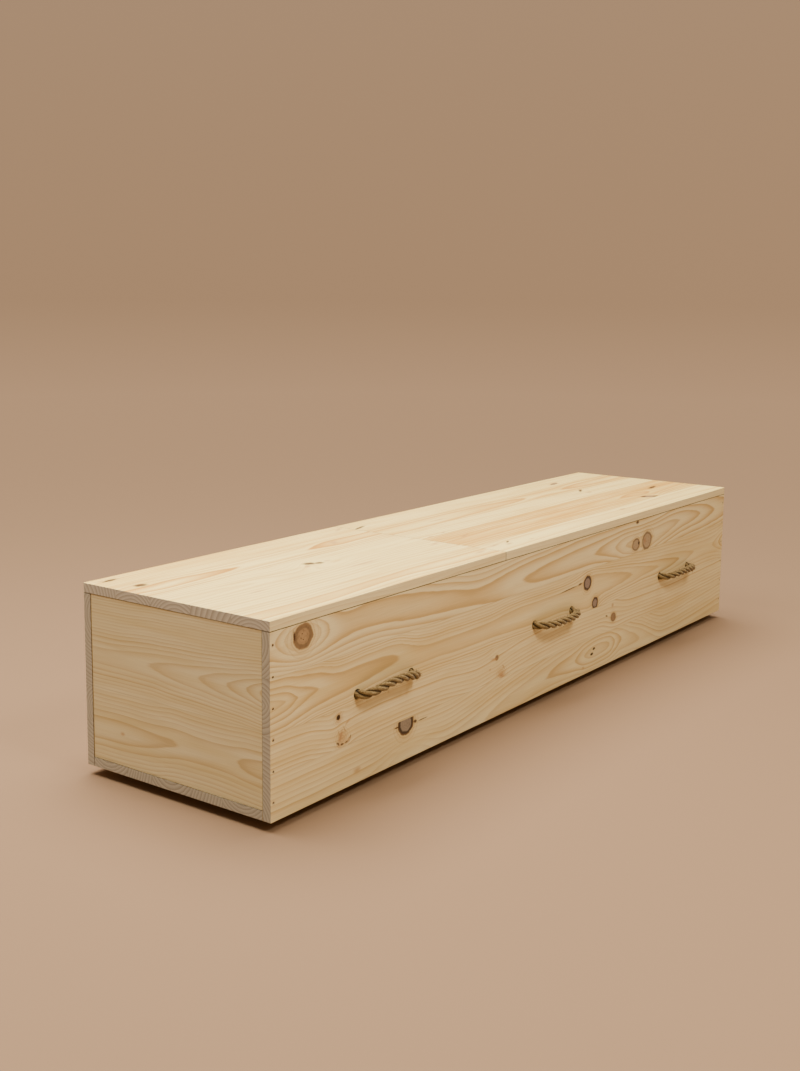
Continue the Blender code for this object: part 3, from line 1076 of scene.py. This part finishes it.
def mark_figure(mesh, staves, axes, start, seed, seams, seam):
    """Writes the figure onto the mesh's face corners: rings, grain, cut, knots and spots. Eased
    edges that meet another board count as a seam: those at the back, and the ones named."""
    turn = np.array([list(a) for a in axes]).T
    places = (read(mesh.vertices, "co", 3) - np.array(start)) @ turn / MM
    centres = (read(mesh.polygons, "center", 3) - np.array(start)) @ turn / MM
    normals = read(mesh.polygons, "normal", 3) @ turn
    totals = read(mesh.polygons, "loop_total", 1, int)[:, 0]
    corner_face = np.repeat(np.arange(len(totals)), totals)
    corner_vertex = read(mesh.loops, "vertex_index", 1, int)[:, 0]
    along, across, depth = places[corner_vertex].T
    stave_of_face = np.searchsorted([s["edge"] for s in staves[:-1]], centres[:, 1])
    stave_of_corner = stave_of_face[corner_face]

    count = len(corner_face)
    values = {name: np.zeros((count, 3)) for name in ("rings", "grain", "cut", "knot_make")}
    values["knot"] = np.full((count, 3), NO_KNOT)
    values["spot"] = np.full((count, 3), NO_KNOT)
    colours = {name: np.tile([1.0, 1.0, 1.0, 0.0], (count, 1)) for name in ("knot", "spot")}
    rings, grain, cut = values["rings"], values["grain"], values["cut"]
    stave_start = 0.0
    for number, stave in enumerate(staves):
        here = stave_of_corner == number
        ring, colour, moved = rings_at(
            stave, seed + number, along[here], across[here], depth[here]
        )
        joint = np.full(here.sum(), NO_JOINT)
        if number:
            joint = np.minimum(joint, across[here] - stave_start)
        if number < len(staves) - 1:
            joint = np.minimum(joint, stave["edge"] - across[here])
        rings[here] = np.stack([ring, colour, joint], 1)
        grain[here] = np.stack([
            along[here] + GRAIN_SHIFT * (seed + number), moved, depth[here],
        ], 1)
        cut[here, 1] = stave["tone"]
        cut[here, 2] = seed * SEEDS_APART + number
        shown = np.flatnonzero((stave_of_face == number) & (normals[:, 2] < -SQUARE_FACE))
        for layer, kinds in (("knot", KNOT_KINDS), ("spot", SPOT_KINDS)):
            marks = [mark for mark in stave["marks"] if mark[5] in kinds]
            mark_of_face = nearest_marks(marks, centres, shown)
            for index, (x, y, half_long, half_wide, angle, kind, _) in enumerate(marks):
                on = mark_of_face[corner_face] == index
                u, v = turned(along[on] - x, across[on] - y, angle)
                tint, strength, *make = kinds[kind]
                third = x % 37 + y if layer == "knot" else make[0]
                values[layer][on] = np.stack(
                    [u / half_long, v / half_wide, np.full(on.sum(), third)], 1
                )
                if layer == "knot":
                    values["knot_make"][on] = make
                colours[layer][on] = (*linear(tint)[:3], strength)
        stave_start = stave["edge"]

    cut[:, 0] = (np.abs(normals[corner_face, 0]) > SQUARE_END).astype(float)
    edge_face = np.abs(normals[corner_face, 2]) < SQUARE_FACE
    rings[edge_face, 1] *= EDGE_FACE_FIGURE
    cut[edge_face, 1] += EDGE_FACE_TONE
    eased = np.abs(normals).max(axis=1) < SQUARE_FLAT
    length, width, thickness = places.max(axis=0)
    at = {
        "start": centres[:, 0] < EDGE_NEAR, "end": centres[:, 0] > length - EDGE_NEAR,
        "first": centres[:, 1] < EDGE_NEAR, "last": centres[:, 1] > width - EDGE_NEAR,
    }
    for place in seams:
        rings[(eased & at[place])[corner_face], 2] = seam
    at_back = centres[:, 2] > thickness - EDGE_NEAR
    rings[(eased & at_back)[corner_face], 2] = DARK_SEAM

    for name, rows in values.items():
        layer = mesh.attributes.new(name, "FLOAT_VECTOR", "CORNER")
        layer.data.foreach_set("vector", rows.astype(np.float32).ravel())
    for name, rows in colours.items():
        layer = mesh.attributes.new(name + "_colour", "FLOAT_COLOR", "CORNER")
        layer.data.foreach_set("color", rows.astype(np.float32).ravel())


# Pine, as a material. Sizes are mm: along the fibres, across them and into the board

STREAK_SIZE = (90, 1.6, 1.6)
PATCH_SIZE = (330, 26, 26)
WAVER_SIZE = (110, 15, 15)
FRAY_SIZE = (16, 2.2, 2.2)
PORES_PER_MM = 1.4

# Shares of one ring: how far its edge wavers, where the late wood starts to colour, and how much
# of the next ring it fades over. Late wood that is this late starts the dark line
RING_WAVER = 0.18
LATE_START = 0.22
RING_FADE = 0.09
LINE_START = 0.80
# The least colour that chance leaves a ring, and what it adds at most
RING_LEAST = 0.50
RING_MORE = 0.9
# How strongly the dark line shows on faces and on cut ends
FACE_LINE = 0.32
END_LINE = 0.5

# Tone from pale to warm: how much a stave's own tone counts, the usual tone, and how much the
# soft patches add and take away
STAVE_TONE = 0.55
USUAL_TONE = 0.24
PATCH_TONE = 2.0

# Knots and spots, in half widths: how ragged the outline is, and how far a soft one spreads
KNOT_RAGGED = 0.34
KNOT_SPREAD = (0.4, 1.02)
SPOT_RAGGED = 0.9
SPOT_SPREAD = (0.35, 1.05)
# Rings in a knot's core, radians to a half width, and how much they shade it
CORE_RINGS = 26.0
CORE_SHADE = 0.06
# How much of the rim's share it takes to darken fully
RIM_RISE = 0.38
# Faint rings outside a knot: radians to a half width, and where in a turn they start
COLLAR_RINGS = 17.0
COLLAR_PHASE = 0.8
# How much the fibre streaks raise the surface, against the late wood
STREAK_HEIGHT = 0.5


def grain_noise(tree, grain, size, detail, roughness):
    """Noise whose spots have a real size along the fibres, across them and into the board."""
    scaled = add(tree, VECTOR, {0: grain, 1: [1 / mm for mm in size]}, operation="MULTIPLY")
    return add(
        tree, NOISE, {"Vector": scaled, "Scale": 1.0, "Detail": detail, "Roughness": roughness}
    )


def growth_rings(tree, ring, ring_depth, stave_seed, waver):
    """How late the wood is at each point, 0 to 1, and how deeply the late wood and the dark line
    at its outer edge are coloured."""
    shift = add(tree, MATH, {0: waver, 1: RING_WAVER, 2: -RING_WAVER / 2}, operation="MULTIPLY_ADD")
    count = add(tree, MATH, {0: ring, 1: shift}, operation="ADD")
    part = add(tree, MATH, {0: count}, operation="FRACT")
    rise = add(tree, RANGE, {"Value": part, "From Min": LATE_START, "From Max": 1.0}, **SMOOTH)
    fade = add(tree, RANGE, {
        "Value": part, "From Max": RING_FADE, "To Min": 1.0, "To Max": 0.0,
    }, **SMOOTH)
    late = add(tree, MATH, {0: rise, 1: fade}, operation="MAXIMUM")
    crisp = add(tree, RANGE, {"Value": late, "From Min": LINE_START, "From Max": 1.0}, **SMOOTH)

    # A ring keeps its own colour until its line has faded out in the next one
    kept_count = add(tree, MATH, {0: count, 1: RING_FADE}, operation="SUBTRACT")
    whole = add(tree, MATH, {0: kept_count}, operation="FLOOR")
    ring_seed = add(tree, "ShaderNodeCombineXYZ", {0: whole, 1: stave_seed})
    chance = add(tree, "ShaderNodeTexWhiteNoise", {"Vector": ring_seed}, noise_dimensions="2D")
    chance = add(tree, MATH, {0: chance, 1: RING_MORE, 2: RING_LEAST}, operation="MULTIPLY_ADD")
    depth = add(tree, MATH, {0: ring_depth, 1: chance}, operation="MULTIPLY", use_clamp=True)
    late_depth = add(tree, MATH, {0: late, 1: depth}, operation="MULTIPLY", use_clamp=True)
    line_depth = add(tree, MATH, {0: crisp, 1: depth}, operation="MULTIPLY", use_clamp=True)
    return late, late_depth, line_depth


def end_grain(tree, grain, late, line_depth, end_tint, line):
    """Cut ends: darker and greyer, with the rings showing stronger, and open pores."""
    share = add(tree, MATH, {0: line_depth, 1: END_LINE}, operation="MULTIPLY")
    wood = add(tree, MIX, {0: share, 1: linear(end_tint), 2: linear(line)}, **COLOURS)
    pores = add(tree, NOISE, {
        "Vector": grain, "Scale": PORES_PER_MM, "Detail": 3.0, "Roughness": 0.7,
    })
    pore_tone = add(tree, RANGE, {
        "Value": pores, "From Min": 0.3, "From Max": 0.7, "To Min": 0.78, "To Max": 1.12,
    })
    late_tone = add(tree, RANGE, {"Value": late, "To Min": 1.06, "To Max": 0.74})
    tone = add(tree, MATH, {0: pore_tone, 1: late_tone}, operation="MULTIPLY")
    return add(tree, VECTOR, {0: wood, "Scale": tone}, operation="SCALE")


def mark_cover(tree, mark, ragged, softness, spread, colour):
    """How far each point is from a mark's middle, in half widths, and how much the mark covers."""
    flat = add(tree, VECTOR, {0: mark, 1: (1.0, 1.0, 0.0)}, operation="MULTIPLY")
    far = add(tree, VECTOR, {0: flat}, operation="LENGTH").outputs["Value"]
    far = add(tree, MATH, {0: far, 1: ragged}, operation="ADD")
    inner = add(tree, MATH, {0: 1.0, 1: softness}, operation="SUBTRACT")
    outer = add(tree, MATH, {0: softness, 1: spread[0], 2: spread[1]}, operation="MULTIPLY_ADD")
    inside = add(tree, RANGE, {
        "Value": far, "From Min": inner, "From Max": outer, "To Min": 1.0, "To Max": 0.0,
    }, **SMOOTH)
    strength = colour.outputs["Alpha"]
    return far, add(tree, MATH, {0: inside, 1: strength}, operation="MULTIPLY", use_clamp=True)


def with_knots(tree, wood, gold, line):
    """The wood with its knots: a ringed and checked core, a dark rim, a golden halo and the faint
    rings that bend round it. Also gives how much they cover."""
    knot = add(tree, ATTRIBUTE, attribute_name="knot").outputs["Vector"]
    make = add(tree, ATTRIBUTE, attribute_name="knot_make").outputs["Vector"]
    rim_dark, rim_share, softness = add(tree, "ShaderNodeSeparateXYZ", {0: make}).outputs
    colour = add(tree, ATTRIBUTE, attribute_name="knot_colour")
    rough = add(tree, NOISE, {"Vector": knot, "Scale": 1.7, "Detail": 3.0, "Roughness": 0.6})
    ragged = add(tree, MATH, {0: rough, 1: KNOT_RAGGED, 2: -KNOT_RAGGED / 2}, operation="MULTIPLY_ADD")
    far, cover = mark_cover(tree, knot, ragged, softness, KNOT_SPREAD, colour)

    rings = add(tree, MATH, {0: far, 1: CORE_RINGS}, operation="MULTIPLY")
    rings = add(tree, MATH, {0: rings}, operation="SINE")
    ring_tone = add(tree, MATH, {0: rings, 1: CORE_SHADE, 2: 1.0}, operation="MULTIPLY_ADD")
    checks = add(tree, NOISE, {"Vector": knot, "Scale": 4.5, "Detail": 4.0, "Roughness": 0.7})
    check_tone = add(tree, RANGE, {
        "Value": checks, "From Min": 0.33, "From Max": 0.5, "To Min": 0.62, "To Max": 1.0,
    })
    tone = add(tree, MATH, {0: ring_tone, 1: check_tone}, operation="MULTIPLY")
    core = add(tree, VECTOR, {0: colour.outputs["Color"], "Scale": tone}, operation="SCALE")

    rim_start = add(tree, MATH, {0: 1.0, 1: rim_share}, operation="SUBTRACT")
    rim_full = add(tree, MATH, {0: rim_share, 1: RIM_RISE, 2: rim_start}, operation="MULTIPLY_ADD")
    rim = add(tree, RANGE, {"Value": far, "From Min": rim_start, "From Max": rim_full}, **SMOOTH)
    rim = add(tree, MATH, {0: rim, 1: rim_dark}, operation="MULTIPLY", use_clamp=True)
    bark = add(tree, RANGE, {"Value": far, "From Min": 0.80, "From Max": 1.0})
    bark = add(tree, MIX, {0: bark, 1: linear("241206"), 2: linear("7A5632")}, **COLOURS)
    core = add(tree, MIX, {0: rim, 1: core, 2: bark}, **COLOURS)

    halo = add(tree, RANGE, {
        "Value": far, "From Min": 1.0, "From Max": 1.7, "To Min": 0.34, "To Max": 0.0,
    }, **SMOOTH)
    halo = add(tree, MATH, {0: halo, 1: colour.outputs["Alpha"]}, operation="MULTIPLY")
    wood = add(tree, MIX, {0: halo, 1: wood, 2: linear(gold)}, **COLOURS)
    collar = add(tree, MATH, {0: far, 1: COLLAR_RINGS, 2: COLLAR_PHASE}, operation="MULTIPLY_ADD")
    collar = add(tree, MATH, {0: collar}, operation="SINE")
    collar = add(tree, RANGE, {"Value": collar, "From Min": 0.2, "To Max": 0.30}, **SMOOTH)
    fading = add(tree, RANGE, {
        "Value": far, "From Min": 1.25, "From Max": 2.0, "To Min": 1.0, "To Max": 0.0,
    })
    collar = add(tree, MATH, {0: collar, 1: fading}, operation="MULTIPLY")
    wood = add(tree, MIX, {0: collar, 1: wood, 2: linear(line)}, **COLOURS)
    return add(tree, MIX, {0: cover, 1: wood, 2: core}, **COLOURS), cover


def with_spots(tree, wood, grain):
    """The wood with its small spots and streaks, feathered along the fibres."""
    spot = add(tree, ATTRIBUTE, attribute_name="spot").outputs["Vector"]
    colour = add(tree, ATTRIBUTE, attribute_name="spot_colour")
    softness = add(tree, "ShaderNodeSeparateXYZ", {0: spot}).outputs["Z"]
    frayed = grain_noise(tree, grain, FRAY_SIZE, 3.0, 0.6)
    ragged = add(tree, MATH, {0: frayed, 1: SPOT_RAGGED, 2: -SPOT_RAGGED / 2}, operation="MULTIPLY_ADD")
    _, cover = mark_cover(tree, spot, ragged, softness, SPOT_SPREAD, colour)
    return add(tree, MIX, {0: cover, 1: wood, 2: colour.outputs["Color"]}, **COLOURS)


def pine(name, pale, warm, gold, line, end_tint, roughness, figure, fibre=1.0):
    """Pine board. Late wood shades into gold towards each ring's edge and stops sharply there, the
    fibres run as fine streaks that part around knots, and cut ends are darker and greyer."""
    made, tree = new_material(name)
    grain = add(tree, ATTRIBUTE, attribute_name="grain").outputs["Vector"]
    rings = add(tree, ATTRIBUTE, attribute_name="rings").outputs["Vector"]
    ring, ring_depth, joint = add(tree, "ShaderNodeSeparateXYZ", {0: rings}).outputs
    cut = add(tree, ATTRIBUTE, attribute_name="cut").outputs["Vector"]
    is_end, stave_tone, stave_seed = add(tree, "ShaderNodeSeparateXYZ", {0: cut}).outputs
    streaks = grain_noise(tree, grain, STREAK_SIZE, 4.0, 0.62)
    patches = grain_noise(tree, grain, PATCH_SIZE, 3.0, 0.55)
    waver = grain_noise(tree, grain, WAVER_SIZE, 2.0, 0.5)
    late, late_depth, line_depth = growth_rings(tree, ring, ring_depth, stave_seed, waver)

    # Sound wood: pale to warm, gold where it is late, and a dark line at each ring's edge
    tone = add(tree, MATH, {0: stave_tone, 1: STAVE_TONE, 2: USUAL_TONE}, operation="MULTIPLY_ADD")
    patch = add(tree, MATH, {0: patches, 1: PATCH_TONE, 2: -PATCH_TONE / 2}, operation="MULTIPLY_ADD")
    tone = add(tree, MATH, {0: tone, 1: patch}, operation="ADD", use_clamp=True)
    wood = add(tree, MIX, {0: tone, 1: linear(pale), 2: linear(warm)}, **COLOURS)
    gold_share = add(tree, MATH, {0: late_depth, 1: figure}, operation="MULTIPLY")
    wood = add(tree, MIX, {0: gold_share, 1: wood, 2: linear(gold)}, **COLOURS)
    line_share = add(tree, MATH, {0: line_depth, 1: FACE_LINE * figure}, operation="MULTIPLY")
    wood = add(tree, MIX, {0: line_share, 1: wood, 2: linear(line)}, **COLOURS)
    streak = add(tree, RANGE, {
        "Value": streaks, "From Min": 0.25, "From Max": 0.75,
        "To Min": 1.0 - 0.10 * fibre, "To Max": 1.0 + 0.07 * fibre,
    })
    wood = add(tree, VECTOR, {0: wood, "Scale": streak}, operation="SCALE")

    end_wood = end_grain(tree, grain, late, line_depth, end_tint, line)
    wood = add(tree, MIX, {0: is_end, 1: wood, 2: end_wood}, **COLOURS)
    wood, knot_cover = with_knots(tree, wood, gold, line)
    wood = with_spots(tree, wood, grain)

    # Glue lines between staves, and the shadowed eased edges where two boards meet
    glue = add(tree, RANGE, {
        "Value": joint, "From Min": 0.2, "From Max": 1.4, "To Min": 0.88, "To Max": 1.0,
    })
    seam = add(tree, RANGE, {
        "Value": joint, "From Min": DARK_SEAM, "From Max": DARK_SEAM / 2, "To Min": 0.26,
    })
    joined = add(tree, MATH, {0: glue, 1: seam}, operation="MULTIPLY")
    wood = add(tree, VECTOR, {0: wood, "Scale": joined}, operation="SCALE")

    # Sanded surface: late wood stands a hair proud and takes a little more light
    height = add(tree, MATH, {
        0: streaks, 1: STREAK_HEIGHT, 2: late_depth,
    }, operation="MULTIPLY_ADD")
    height = add(tree, MATH, {0: height, 1: knot_cover}, operation="SUBTRACT")
    bump = add(tree, "ShaderNodeBump", {"Height": height, "Strength": 0.35, "Distance": 0.2 * MM})
    gloss = add(tree, RANGE, {
        "Value": streaks, "From Min": 0.3, "From Max": 0.7,
        "To Min": roughness + 0.05, "To Max": roughness - 0.05,
    })
    finish(tree, {
        "Base Color": wood, "Roughness": gloss, "Normal": bump, "IOR": 1.45,
        "Specular IOR Level": 0.35,
    })
    return made


side_pine = pine(
    "knotty pine, planed and sanded", "F0E2B2", "E0C88A", "CFAD6E", "AA8752", "BEBBAE", 0.52, 0.80
)
end_pine = pine(
    "pale end boards, planed pine", "E9E2BE", "DACC98", "C8AF79", "A0855A", "B8AE9C", 0.52, 0.68
)
# Painted light: a lit copy of the sides' pine, its colours and figure set for the strong light on the
# lid's top
lid_top_lit_pine = pine(
    "lid-top pine with painted light, planed and sanded", "F8E392", "D2A74E", "D09B46", "AC742E", "CAC6B9", 0.42, 1.00
)
batten_pine = pine(
    "rough sawn pine", "D2B488", "BE9766", "A87840", "845426", "8E7256", 0.70, 0.90, 2.0
)

# Boards, each with the way its fibres run and the way across it. Faces on hidden sides are
# larger, in mm

TO_FOOT = (1, 0, 0)
TO_HEAD = (-1, 0, 0)
TO_NEAR = (0, -1, 0)
TO_FAR = (0, 1, 0)
DOWN = (0, 0, -1)
ALL_ROUND = ("start", "end", "first", "last")
HIDDEN_CELL = 8.0
BOTTOM_CELL = 12.0


def make_boards():
    rng = np.random.default_rng(41)
    figured_board(
        "side_near", TO_FOOT, DOWN, SIDE_NEAR, side_pine, 1,
        seams=("first",), holes=True,
    )
    figured_board(
        "end_head", TO_NEAR, DOWN, END_HEAD, end_pine, 11,
        seams=ALL_ROUND, seam=FAINT_SEAM,
    )
    # The lid's top faces wear the pine with painted light for the top, and its edges wear the sides' pine
    for name, staves, seed, joint in (
        ("lid_head", LID_HEAD, 21, "end"), ("lid_foot", LID_FOOT, 31, "start"),
    ):
        figured_board(
            name, TO_FOOT, TO_NEAR, staves, lid_top_lit_pine, seed,
            seams=(joint,), seam=FAINT_SEAM, edge_material=side_pine,
        )
    figured_board(
        "side_far", TO_HEAD, DOWN, invent_staves(rng, 360, 2050, 4, 9), side_pine, 41,
        seams=("first",), holes=True, skin_cell=HIDDEN_CELL,
    )
    figured_board(
        "end_foot", TO_FAR, DOWN, invent_staves(rng, 340, 460, 2, 1), end_pine, 51,
        seams=ALL_ROUND, seam=FAINT_SEAM,
    )
    figured_board(
        "bottom_panel", TO_FOOT, TO_FAR, invent_staves(rng, 459.4, 2050, 5, 8), side_pine, 61,
        skin_cell=BOTTOM_CELL,
    )
    for number, name in enumerate(("runner_head", "runner_middle", "runner_foot")):
        figured_board(
            name, TO_FAR, TO_FOOT, invent_staves(rng, 70, 340, 1, 0), batten_pine, 71 + number,
            skin_cell=HIDDEN_CELL,
        )


make_boards()


# Nails through the sides into the end boards: small heads set a little below the wood

NAIL_HEAD_RADIUS = 2.25 * MM
NAIL_HEAD_THICK = 0.8 * MM
NAIL_DOME = 0.25 * MM
# How far the head stands off the bottom of its hole
NAIL_OFF = 0.02 * MM
# How the dome falls away towards the rim, and the most that a head is tipped, in radians
DOME_POWER = 2.4
NAIL_TIP = 0.06
# Blotches to a metre, about 1 mm wide
NAIL_BLOTCHES = 900.0


def nail_tree():
    """One nail head at each point, its face along the point's outward direction."""
    tree, given = new_tree("nail heads", [
        ("Head Radius", "NodeSocketFloat"), ("Head Thickness", "NodeSocketFloat"),
        ("Dome", "NodeSocketFloat"), ("Seed", "NodeSocketInt"), ("Material", "NodeSocketMaterial"),
    ])
    head = add(tree, "GeometryNodeMeshCylinder", {
        "Vertices": 20, "Side Segments": 1, "Fill Segments": 3,
        "Radius": given["Head Radius"], "Depth": given["Head Thickness"],
    })
    place = add(tree, "GeometryNodeInputPosition")
    parts = add(tree, "ShaderNodeSeparateXYZ", {0: place})
    flat = add(tree, VECTOR, {0: place, 1: (1.0, 1.0, 0.0)}, operation="MULTIPLY")
    out = add(tree, VECTOR, {0: flat}, operation="LENGTH")
    share = add(tree, MATH, {0: out.outputs["Value"], 1: given["Head Radius"]}, operation="DIVIDE")
    share = add(tree, MATH, {0: share, 1: DOME_POWER}, operation="POWER")
    drop = add(tree, MATH, {0: share, 1: given["Dome"]}, operation="MULTIPLY")
    drop = add(tree, MATH, {0: drop, 1: -1.0}, operation="MULTIPLY")
    on_top = add(tree, "FunctionNodeCompare", {
        0: parts.outputs["Z"], 1: 0.0,
    }, operation="GREATER_THAN")
    drop = add(tree, "ShaderNodeCombineXYZ", {2: drop})
    head = add(tree, "GeometryNodeSetPosition", {
        "Geometry": head, "Selection": on_top, "Offset": drop,
    })
    outward = add(tree, "GeometryNodeInputNamedAttribute", {
        "Name": "outward",
    }, data_type="FLOAT_VECTOR")
    facing = add(tree, "FunctionNodeAlignRotationToVector", {"Vector": outward}, axis="Z")
    tip = add(
        tree, "FunctionNodeRandomValue",
        {"Min": (-NAIL_TIP, -NAIL_TIP, 0.0), "Max": (NAIL_TIP, NAIL_TIP, FULL_TURN),
         "Seed": given["Seed"]},
        data_type="FLOAT_VECTOR",
    )
    tip = add(tree, "FunctionNodeEulerToRotation", {"Euler": tip})
    facing = add(
        tree, "FunctionNodeRotateRotation", {"Rotation": facing, "Rotate By": tip},
        rotation_space="LOCAL",
    )
    heads = add(tree, "GeometryNodeMeshToPoints", {"Mesh": given["Geometry"]})
    heads = add(
        tree, "GeometryNodeInstanceOnPoints", {"Points": heads, "Instance": head, "Rotation": facing}
    )
    end_tree(tree, heads, given["Material"])
    return tree


def browned_steel():
    """Plain steel wire nails, browned by handling: dull metal with darker brown blotches."""
    made, tree = new_material("browned steel nail")
    where = add(tree, "ShaderNodeTexCoord").outputs["Object"]
    blotches = add(tree, NOISE, {
        "Vector": where, "Scale": NAIL_BLOTCHES, "Detail": 3.0, "Roughness": 0.6,
    })
    share = add(tree, RANGE, {"Value": blotches, "From Min": 0.35, "From Max": 0.65})
    colour = add(tree, MIX, {0: share, 1: linear("3A2A1E"), 2: linear("7A6450")}, **COLOURS)
    rough = add(tree, RANGE, {"Value": share, "To Min": 0.75, "To Max": 0.45})
    finish(tree, {"Base Color": colour, "Roughness": rough, "Metallic": 0.6})
    return made


def make_nails():
    """The nail heads in both sides' corners, as one piece."""
    points = []
    outward = []
    for side in (-1, 1):
        middle = side * (BOX_WIDTH / 2 - NAIL_DEPTH + NAIL_HEAD_THICK / 2 + NAIL_OFF)
        for end in (-1, 1):
            for z in NAIL_HEIGHTS:
                points.append((end * NAIL_X, middle, z))
                outward += [0.0, float(side), 0.0]
    mesh = bpy.data.meshes.new("nail_places")
    mesh.from_pydata(points, [], [])
    mesh.attributes.new("outward", "FLOAT_VECTOR", "POINT").data.foreach_set("vector", outward)
    heads = put("nail_heads", grown("nail_heads", mesh, nail_tree(), {
        "Head Radius": NAIL_HEAD_RADIUS, "Head Thickness": NAIL_HEAD_THICK, "Dome": NAIL_DOME,
        "Seed": 5, "Material": browned_steel(),
    }))
    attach(heads, "root")


make_nails()

# Plain pale floor that sweeps up all round, and soft studio light

FLOOR_RADIUS = 9.0
SWEEP_RADIUS = 6.0
SWEEP_RISE = 30
SWEEP_STEP = 3
SLOPE_LENGTH = 16.0
FLOOR_TURNS = 128


def make_floor():
    """A round floor that bends up into a gentle slope, so that no horizon line shows."""
    bend = [math.radians(a) for a in range(0, SWEEP_RISE + 1, SWEEP_STEP)]
    profile = [(FLOOR_RADIUS * k / 4, 0.0) for k in range(1, 4)]
    profile += [
        (FLOOR_RADIUS + SWEEP_RADIUS * math.sin(a), SWEEP_RADIUS * (1 - math.cos(a))) for a in bend
    ]
    profile.append((
        profile[-1][0] + SLOPE_LENGTH * math.cos(bend[-1]),
        profile[-1][1] + SLOPE_LENGTH * math.sin(bend[-1]),
    ))
    form = bmesh.new()
    turns = [2 * math.pi * k / FLOOR_TURNS for k in range(FLOOR_TURNS)]
    middle = form.verts.new((0.0, 0.0, 0.0))
    hoops = [
        [form.verts.new((r * math.cos(t), r * math.sin(t), z)) for t in turns] for r, z in profile
    ]
    for k in range(FLOOR_TURNS):
        form.faces.new((middle, hoops[0][k - 1], hoops[0][k]))
        for inner, outer in zip(hoops[:-1], hoops[1:]):
            form.faces.new((inner[k - 1], outer[k - 1], outer[k], inner[k]))
    for face in form.faces:
        face.smooth = True
    mesh = bpy.data.meshes.new("floor")
    form.to_mesh(mesh)
    form.free()
    made, tree = new_material("plain pale floor")
    finish(tree, {
        "Base Color": linear("866F59"), "Roughness": 0.85, "Specular IOR Level": 0.1,
    })
    put("floor", mesh, made)


def make_light(name, kind, power, colour, towards, place=(0.0, 0.0, 0.0)):
    """A light that shines towards a direction."""
    lamp = bpy.data.lights.new(name, kind)
    lamp.energy = power
    lamp.color = linear(colour)[:3]
    made = bpy.data.objects.new(name, lamp)
    bpy.context.scene.collection.objects.link(made)
    made.location = place
    made.rotation_euler = Vector(towards).to_track_quat("-Z", "Y").to_euler()
    return lamp


def make_softbox(name, place, aim, size, power, colour):
    """A square light that stands at a place and shines at another."""
    towards = Vector(aim) - Vector(place)
    make_light(name, "AREA", power, colour, towards, place).size = size


make_floor()
overhead = make_light("overhead light", "SUN", 6.5, "FFF1DE", towards=(-0.15, -0.22, -1.0))
overhead.angle = math.radians(60.0)
make_softbox(
    "softbox above the lid", place=(-0.95, 0.60, 2.30), aim=(-0.95, 0.60, 0.0), size=1.6,
    power=62.0, colour="FFF1DE",
)
make_softbox(
    "front softbox", place=(-1.0, -2.5, 2.9), aim=(-0.3, -0.25, 0.2), size=0.75,
    power=72.0, colour="FFEFD8",
)
world = bpy.data.worlds.new("studio")
bpy.context.scene.world = world
world.use_nodes = True
world.node_tree.nodes["Background"].inputs["Color"].default_value = linear("E8DAC2")
world.node_tree.nodes["Background"].inputs["Strength"].default_value = 0.32
